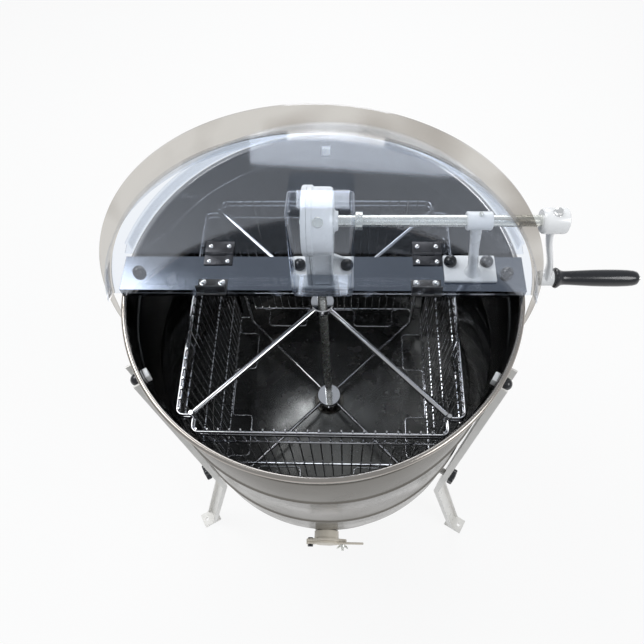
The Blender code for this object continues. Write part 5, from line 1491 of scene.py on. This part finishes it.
@dataclass
class Lids:
    """The clear half-lids with their lips, pocket, hinges, rivets and cap nuts."""

    lean: float = math.radians(78.8195)
    sheet: float = 0.0030
    skirt: float = 0.3275
    skirt_sheet: float = 0.0025
    skirt_drop: float = 0.0190
    front_y: float = -0.0385
    rear_y: float = 0.0355
    front_x: Pair = (-0.1700, 0.1655)
    rear_x: Pair = (-0.1660, 0.1700)
    pocket_x: Pair = (-0.0340, 0.0490)
    pocket_y: Pair = (-0.2385, -0.0835)
    panel: float = 0.3250
    inset: float = 0.0036
    top: float = HINGE - 0.0013

    def swing(self) -> Matrix:
        """Returns the turn that opens the front lid as the CAD has it."""
        hinge = shifted(0, self.front_y, HINGE)
        return hinge @ Matrix.Rotation(self.lean - math.pi, 4, "X") @ hinge.inverted()

    def lip(self, first: float, last: float) -> Shape:
        """Spins the lip below a lid's edge.

        Args:
            first: Its first azimuth.
            last: Its last azimuth.

        Returns:
            The lip.
        """
        work = bmesh.new()
        low, high = self.top - self.sheet - self.skirt_drop, self.top - self.sheet
        corners = [
            (self.skirt, low), (self.skirt + self.skirt_sheet, low),
            (self.skirt + self.skirt_sheet, high), (self.skirt, high),
        ]
        verts = [work.verts.new((r * math.cos(first), r * math.sin(first), z)) for r, z in corners]
        face = work.faces.new(verts)
        bmesh.ops.spin(
            work,
            geom=[face, *face.edges, *face.verts],
            cent=(0, 0, 0),
            axis=(0, 0, 1),
            angle=last - first,
            steps=72,
        )
        bmesh.ops.recalc_face_normals(work, faces=work.faces)
        return work

    def pocket(self) -> Shape:
        """Folds the pocket that clears the gearbox: a shell open at the top.

        Returns:
            The pocket.
        """
        (left, right), (far, near) = self.pocket_x, self.pocket_y
        low = self.top - self.sheet - 0.0400
        work = bmesh.new()
        size = Vector((right - left, near - far, self.top - self.sheet / 2 - low))
        middle = ((left + right) / 2, (near + far) / 2, low + size.z / 2)
        place = shifted(*middle) @ Matrix.Diagonal((*size, 1))
        bmesh.ops.create_cube(work, size=1, matrix=place)
        lids = [f for f in work.faces if f.normal.z > 0.5]
        bmesh.ops.delete(work, geom=lids, context="FACES")
        bottom = [e for e in work.edges if len(e.link_faces) == 2]
        ease(work, bottom, 0.0060, 4)
        bmesh.ops.solidify(work, geom=work.faces, thickness=-self.sheet)
        bmesh.ops.recalc_face_normals(work, faces=work.faces)
        return work

    def region(self, face: bmesh.types.BMFace) -> int:
        """Tells the smoked brim, whose darker patches are painted reflections, from the clear panel.

        Args:
            face: A face of the open front lid.

        Returns:
            The index of the face's finish.
        """
        back = self.swing().inverted()
        closed = [back @ vert.co for vert in face.verts]
        flat = all(point.z > self.top - self.sheet - 0.0002 for point in closed)
        beyond = all(math.hypot(point.x, point.y) > self.panel for point in closed)
        return 1 if flat and beyond else 0

    def front(self) -> None:
        """Builds the open front lid."""
        radius, centre = 0.3340, -0.0270
        ear_x = 0.3262
        straight = self.front_y - self.inset
        ear = math.acos(ear_x / radius)
        brim = arc(radius, ear, -math.pi - ear, 110, (0, centre))
        inner = math.asin(-straight / self.panel)
        brim += [(-ear_x, straight)]
        brim += arc(self.panel + 0.0001, math.pi + inner, FULL - inner, 110)
        brim += [(ear_x, straight)]
        outline = arc(self.panel - 0.0001, math.pi + inner, FULL - inner, 110)
        (left, right), (far, near) = self.pocket_x, self.pocket_y
        hole = [(left, far), (right, far), (right, near), (left, near)]
        middle = shifted(0, 0, self.top - self.sheet / 2)
        start = math.asin(-(self.front_y - 0.0055) / self.skirt)
        shapes = [
            slab(outline, self.sheet, middle, 0.0, [hole]),
            slab(brim, self.sheet, middle, 0.0),
            self.lip(math.pi + start, FULL - start),
            self.pocket(),
        ]
        shapes = [put(shape, self.swing()) for shape in shapes]
        # The brim faces take the smoked tint with its painted reflection patches.
        SHOP.form("front_lid", shapes, CLEAR, Body.FRONT_LID, more=[BRIM_SMOKE_AND_REFLECTION], choose=self.region)

    def rear(self) -> None:
        """Builds the closed rear lid."""
        radius = 0.3325
        notch_x, notch_y = 0.3235, 0.0560
        straight = self.rear_y + self.inset
        first = math.asin((notch_y + 0.002) / radius)
        outline = arc(radius, first, math.pi - first, 96)
        outline += [(-notch_x, notch_y), (-notch_x, straight), (notch_x, straight), (notch_x, notch_y)]
        middle = shifted(0, 0, self.top - self.sheet / 2)
        start = math.asin((notch_y + 0.0055) / self.skirt)
        shapes = [slab(outline, self.sheet, middle, 0.0), self.lip(start, math.pi - start)]
        SHOP.form("rear_lid", shapes, CLEAR, Body.REAR_LID)

    def hinges(self) -> None:
        """Builds the leaves and their nuts and rivets."""
        bar, lid = BAR_TOP + GAP + 0.0020, HINGE + 0.0010
        near, far = self.front_y, self.rear_y
        still, swing = Matrix(), self.swing()
        black, grey, bright = BLACK_PLATE, GREY_PLATE, BRIGHT_NUT
        rows = {
            "front": (
                ("bar", "hinge_nuts", CAP_NUT, black, bright, Body.STAND, still, near + 0.0180, bar),
                ("lid", "lid_rivets", RIVET, black, black, Body.FRONT_LID, swing, near - 0.0110, lid),
            ),
            "rear": (
                ("bar", "bar_rivets", RIVET, grey, bright, Body.STAND, still, far - 0.0140, bar),
                ("lid", "lid_rivets", RIVET, grey, bright, Body.REAR_LID, still, far + 0.0150, lid),
            ),
        }
        for row, xs in (("front", self.front_x), ("rear", self.rear_x)):
            for side, x in zip(("left", "right"), xs):
                for part, heads, head, plate, metal, body, turn, y, level in rows[row]:
                    node = f"{row}_{part}_leaf_{side}"
                    SHOP.form(node, [softened(node, 0.0004, 50)], plate, body)
                    places = [turn @ shifted(x + dx, y, level) for dx in (-PITCH, PITCH)]
                    shapes = [lathe(head, place, 24) for place in places]
                    SHOP.piece(f"{row}_{heads}_{side}", shapes, metal, body)

    def build(self) -> None:
        """Builds both lids and the hinges."""
        self.front()
        self.rear()
        self.hinges()


# Honey gate


@dataclass
class Gate:
    """The honey gate on the outlet: body, blade with handle, bolt and wing nut."""

    face: float = 0.3231
    thick: float = 0.0070
    blade: float = 0.0040
    lobe: Pair = (0.0360, -0.0060)
    lobe_radius: float = 0.0090
    bolt: float = 0.0030
    level: float = RIM - OUTLET_DROP

    def place(self, reach: float, x: float = 0.0, up: float = 0.0) -> Matrix:
        """Returns a place before the outlet, with x right, y up and z out of the drum."""
        return shifted(x, -reach, self.level + up) @ Matrix.Rotation(QUARTER, 4, "X")

    def outline(self, radius: float) -> list[Pair]:
        """Draws a disc with a lobe on each side.

        Args:
            radius: The disc's radius.

        Returns:
            The outline.
        """
        points: list[Pair] = []
        for side in (1, -1):
            aim = 0.0 if side > 0 else math.pi
            centre = (side * self.lobe[0], self.lobe[1])
            points += arc(self.lobe_radius, aim - QUARTER, aim + QUARTER, 12, centre)
            first = math.asin(self.lobe_radius / radius)
            top = arc(radius, first, math.pi - first, 32)
            points += top if side > 0 else [(-x, -y) for x, y in top]
        return points

    def build(self) -> None:
        """Builds and dresses the gate."""
        bore = arc(0.0200, 0, FULL * 47 / 48, 47)
        front = self.face + self.thick
        body = slab(
            self.outline(0.0290), self.thick, self.place(self.face + self.thick / 2), 0.0010, [bore]
        )
        collar = lathe(
            [
                (0.0223, 0.0035), (0.0270, 0.0035), (0.0270, -0.0150), (0.0262, -0.0160),
                (0.0223, -0.0160), (0.0223, 0.0035),
            ],
            self.place(self.face),
            48,
        )
        x, z = self.lobe[0], self.level + self.lobe[1]
        stud = rod((x, -front + 0.0030, z), (x, -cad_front("gate_body"), z), self.bolt, 24)
        SHOP.form("gate_body", [body, collar], GATE_MOULDING, Body.STAND)
        SHOP.piece("gate_stud_form", [stud], PLATED, Body.STAND)
        self.moving(front, x, z)

    def moving(self, front: float, x: float, z: float) -> None:
        """Builds the blade, the pivot bolt and the wing nut.

        Args:
            front: The reach of the body's front.
            x: The lobes' distance from the middle.
            z: The lobes' height.
        """
        blade = softened("gate_blade", 0.0006, 50)
        SHOP.form("gate_blade", [blade], GATE_MOULDING, Body.BLADE)
        blade_front = front + GAP + self.blade
        up = self.lobe[1]
        nut = slab(hexagon(0.0105), 0.0050, self.place(blade_front + GAP + 0.0025, -x, up), 0.0007)
        seat = self.place(blade_front + GAP, x, up)
        end = rod((-x, -blade_front, z), (-x, -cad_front("gate_pivot_bolt"), z), self.bolt, 24)
        head = rod((-x, -self.face + 0.0028, z), (-x, -self.face + GAP, z), 0.0060, 24, 0.0008)
        pin = rod((-x, -self.face, z), (-x, -blade_front, z), self.bolt, 24)
        SHOP.piece("gate_bolt_form", [nut, end, head, pin], BLACK, Body.STAND, ["gate_pivot_bolt"])
        hub = lathe(
            [
                (0.0033, 0.0), (0.0060, 0.0), (0.0060, 0.0008), (0.0050, 0.0050), (0.0033, 0.0050),
                (0.0033, 0.0),
            ],
            seat,
            32,
        )
        shapes = [hub]
        for side in (-1, 1):
            wing = [(0.0042, 0.0008), (0.0075, 0.0010), (0.0120, 0.0052), (0.0130, 0.0080)]
            wing += [(0.0116, 0.0084), (0.0090, 0.0074), (0.0056, 0.0048), (0.0042, 0.0046)]
            points = [(side * a, b) for a, b in wing]
            place = seat @ Matrix.Rotation(QUARTER, 4, "X")
            shapes.append(slab(points, 0.0026, place, 0.0006))
        SHOP.form("gate_wing_nut", shapes, PLATED, Body.WING_NUT)


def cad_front(node: str) -> float:
    """Returns how far a node reaches towards the operator."""
    return -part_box(node)[0].y


# Surroundings


@dataclass
class Studio:
    """The pale floor, the soft lamps, the world and the camera."""

    position: Triple = (0.0438, -0.4964, RIM + 0.7979)
    ahead: Triple = (-0.0442, 0.4645, -0.8844)
    upward: Triple = (-0.0070, 0.8851, 0.4652)
    lens: float = 32.40
    world_level: float = 0.55
    floor_glow: float = 0.86

    def floor(self) -> None:
        """Lays the floor, which shows white to the camera and keeps a soft shadow."""
        work = bmesh.new()
        bmesh.ops.create_grid(
            work, x_segments=1, y_segments=1, size=12, matrix=shifted(0, 0, GROUND - 0.0005)
        )
        mesh = bpy.data.meshes.new("floor")
        work.to_mesh(mesh)
        work.free()
        material, tree, shader = fresh("pale_floor")
        feed(tree, shader, {"Base Color": (0.86, 0.86, 0.86, 1), "Roughness": 0.9})
        rays = add(tree, "LightPath").outputs
        seen = rays["Is Camera Ray"]
        for name in ("Is Glossy Ray", "Is Transmission Ray"):
            largest = add(tree, "Math", {0: seen, 1: rays[name]})
            largest.operation = "MAXIMUM"
            seen = largest.outputs["Value"]
        share = add(tree, "Math", {0: seen, 1: self.floor_glow})
        share.operation = "MULTIPLY"
        glow = add(tree, "Emission", {"Strength": 1.0}).outputs["Emission"]
        inputs = {0: share.outputs["Value"], 1: shader.outputs["BSDF"], 2: glow}
        mix = add(tree, "MixShader", inputs)
        feed(tree, tree.nodes["Material Output"], {"Surface": mix.outputs["Shader"]})
        mesh.materials.append(material)
        obj = linked("floor", mesh)

    def world(self) -> None:
        """Sets an even world, white where the camera sees it."""
        world = bpy.data.worlds.new("studio")
        world.use_nodes = True
        tree = world.node_tree
        lit = tree.nodes["Background"]
        feed(tree, lit, {"Color": (0.94, 0.97, 1.0, 1), "Strength": self.world_level})
        white = add(tree, "Background", {"Color": (1, 1, 1, 1), "Strength": 1.0})
        seen = add(tree, "LightPath").outputs["Is Camera Ray"]
        inputs = {0: seen, 1: lit.outputs["Background"], 2: white.outputs["Background"]}
        mix = add(tree, "MixShader", inputs)
        feed(tree, tree.nodes["World Output"], {"Surface": mix.outputs["Shader"]})
        bpy.context.scene.world = world

    def lamp(self, name: str, place: Triple, size: float, power: float) -> None:
        """Hangs a square lamp that faces the drum's mouth.

        Args:
            name: The lamp's name.
            place: Where it hangs.
            size: Its side.
            power: Its power in watts.
        """
        data = bpy.data.lights.new(name, "AREA")
        data.size = size
        data.energy = power
        aim = Vector((0, 0, RIM - 0.2)) - Vector(place)
        turn = aim.to_track_quat("-Z", "Y").to_matrix().to_4x4()
        linked(name, data).matrix_world = Matrix.Translation(place) @ turn

    def camera(self) -> None:
        """Sets the camera where the photograph was taken."""
        data = bpy.data.cameras.new("camera")
        data.lens = self.lens
        data.sensor_width = 36.0
        data.clip_start = 0.02
        ahead, up = Vector(self.ahead).normalized(), Vector(self.upward).normalized()
        right = ahead.cross(up).normalized()
        up = right.cross(ahead)
        turn = Matrix((right, up, -ahead)).transposed().to_4x4()
        camera = linked("camera", data)
        camera.matrix_world = Matrix.Translation(self.position) @ turn
        bpy.context.scene.camera = camera

    def build(self) -> None:
        """Builds the surroundings."""
        self.camera()
        self.floor()
        self.world()
        self.lamp("key_lamp", (-1.3, 0.6, RIM + 1.9), 1.2, 26)
        self.lamp("fill_lamp", (1.6, -0.9, RIM + 1.5), 1.0, 16)
        self.lamp("back_lamp", (0.2, 2.2, RIM + 1.2), 1.4, 20)
        bpy.context.scene.view_settings.view_transform = "Standard"
        LOG.info("set the studio")


def main() -> None:
    """Builds every sub-assembly in order."""
    logging.basicConfig(level=logging.INFO, format="%(message)s")
    Studio().build()
    for unit in (Drum(), Legs(), Bridge(), Gearbox(), Bracket(), Crank(), Cage(), Lids(), Gate()):
        unit.build()
    LOG.info("made %d pieces", SHOP.count)


if __name__ == "__main__":
    main()
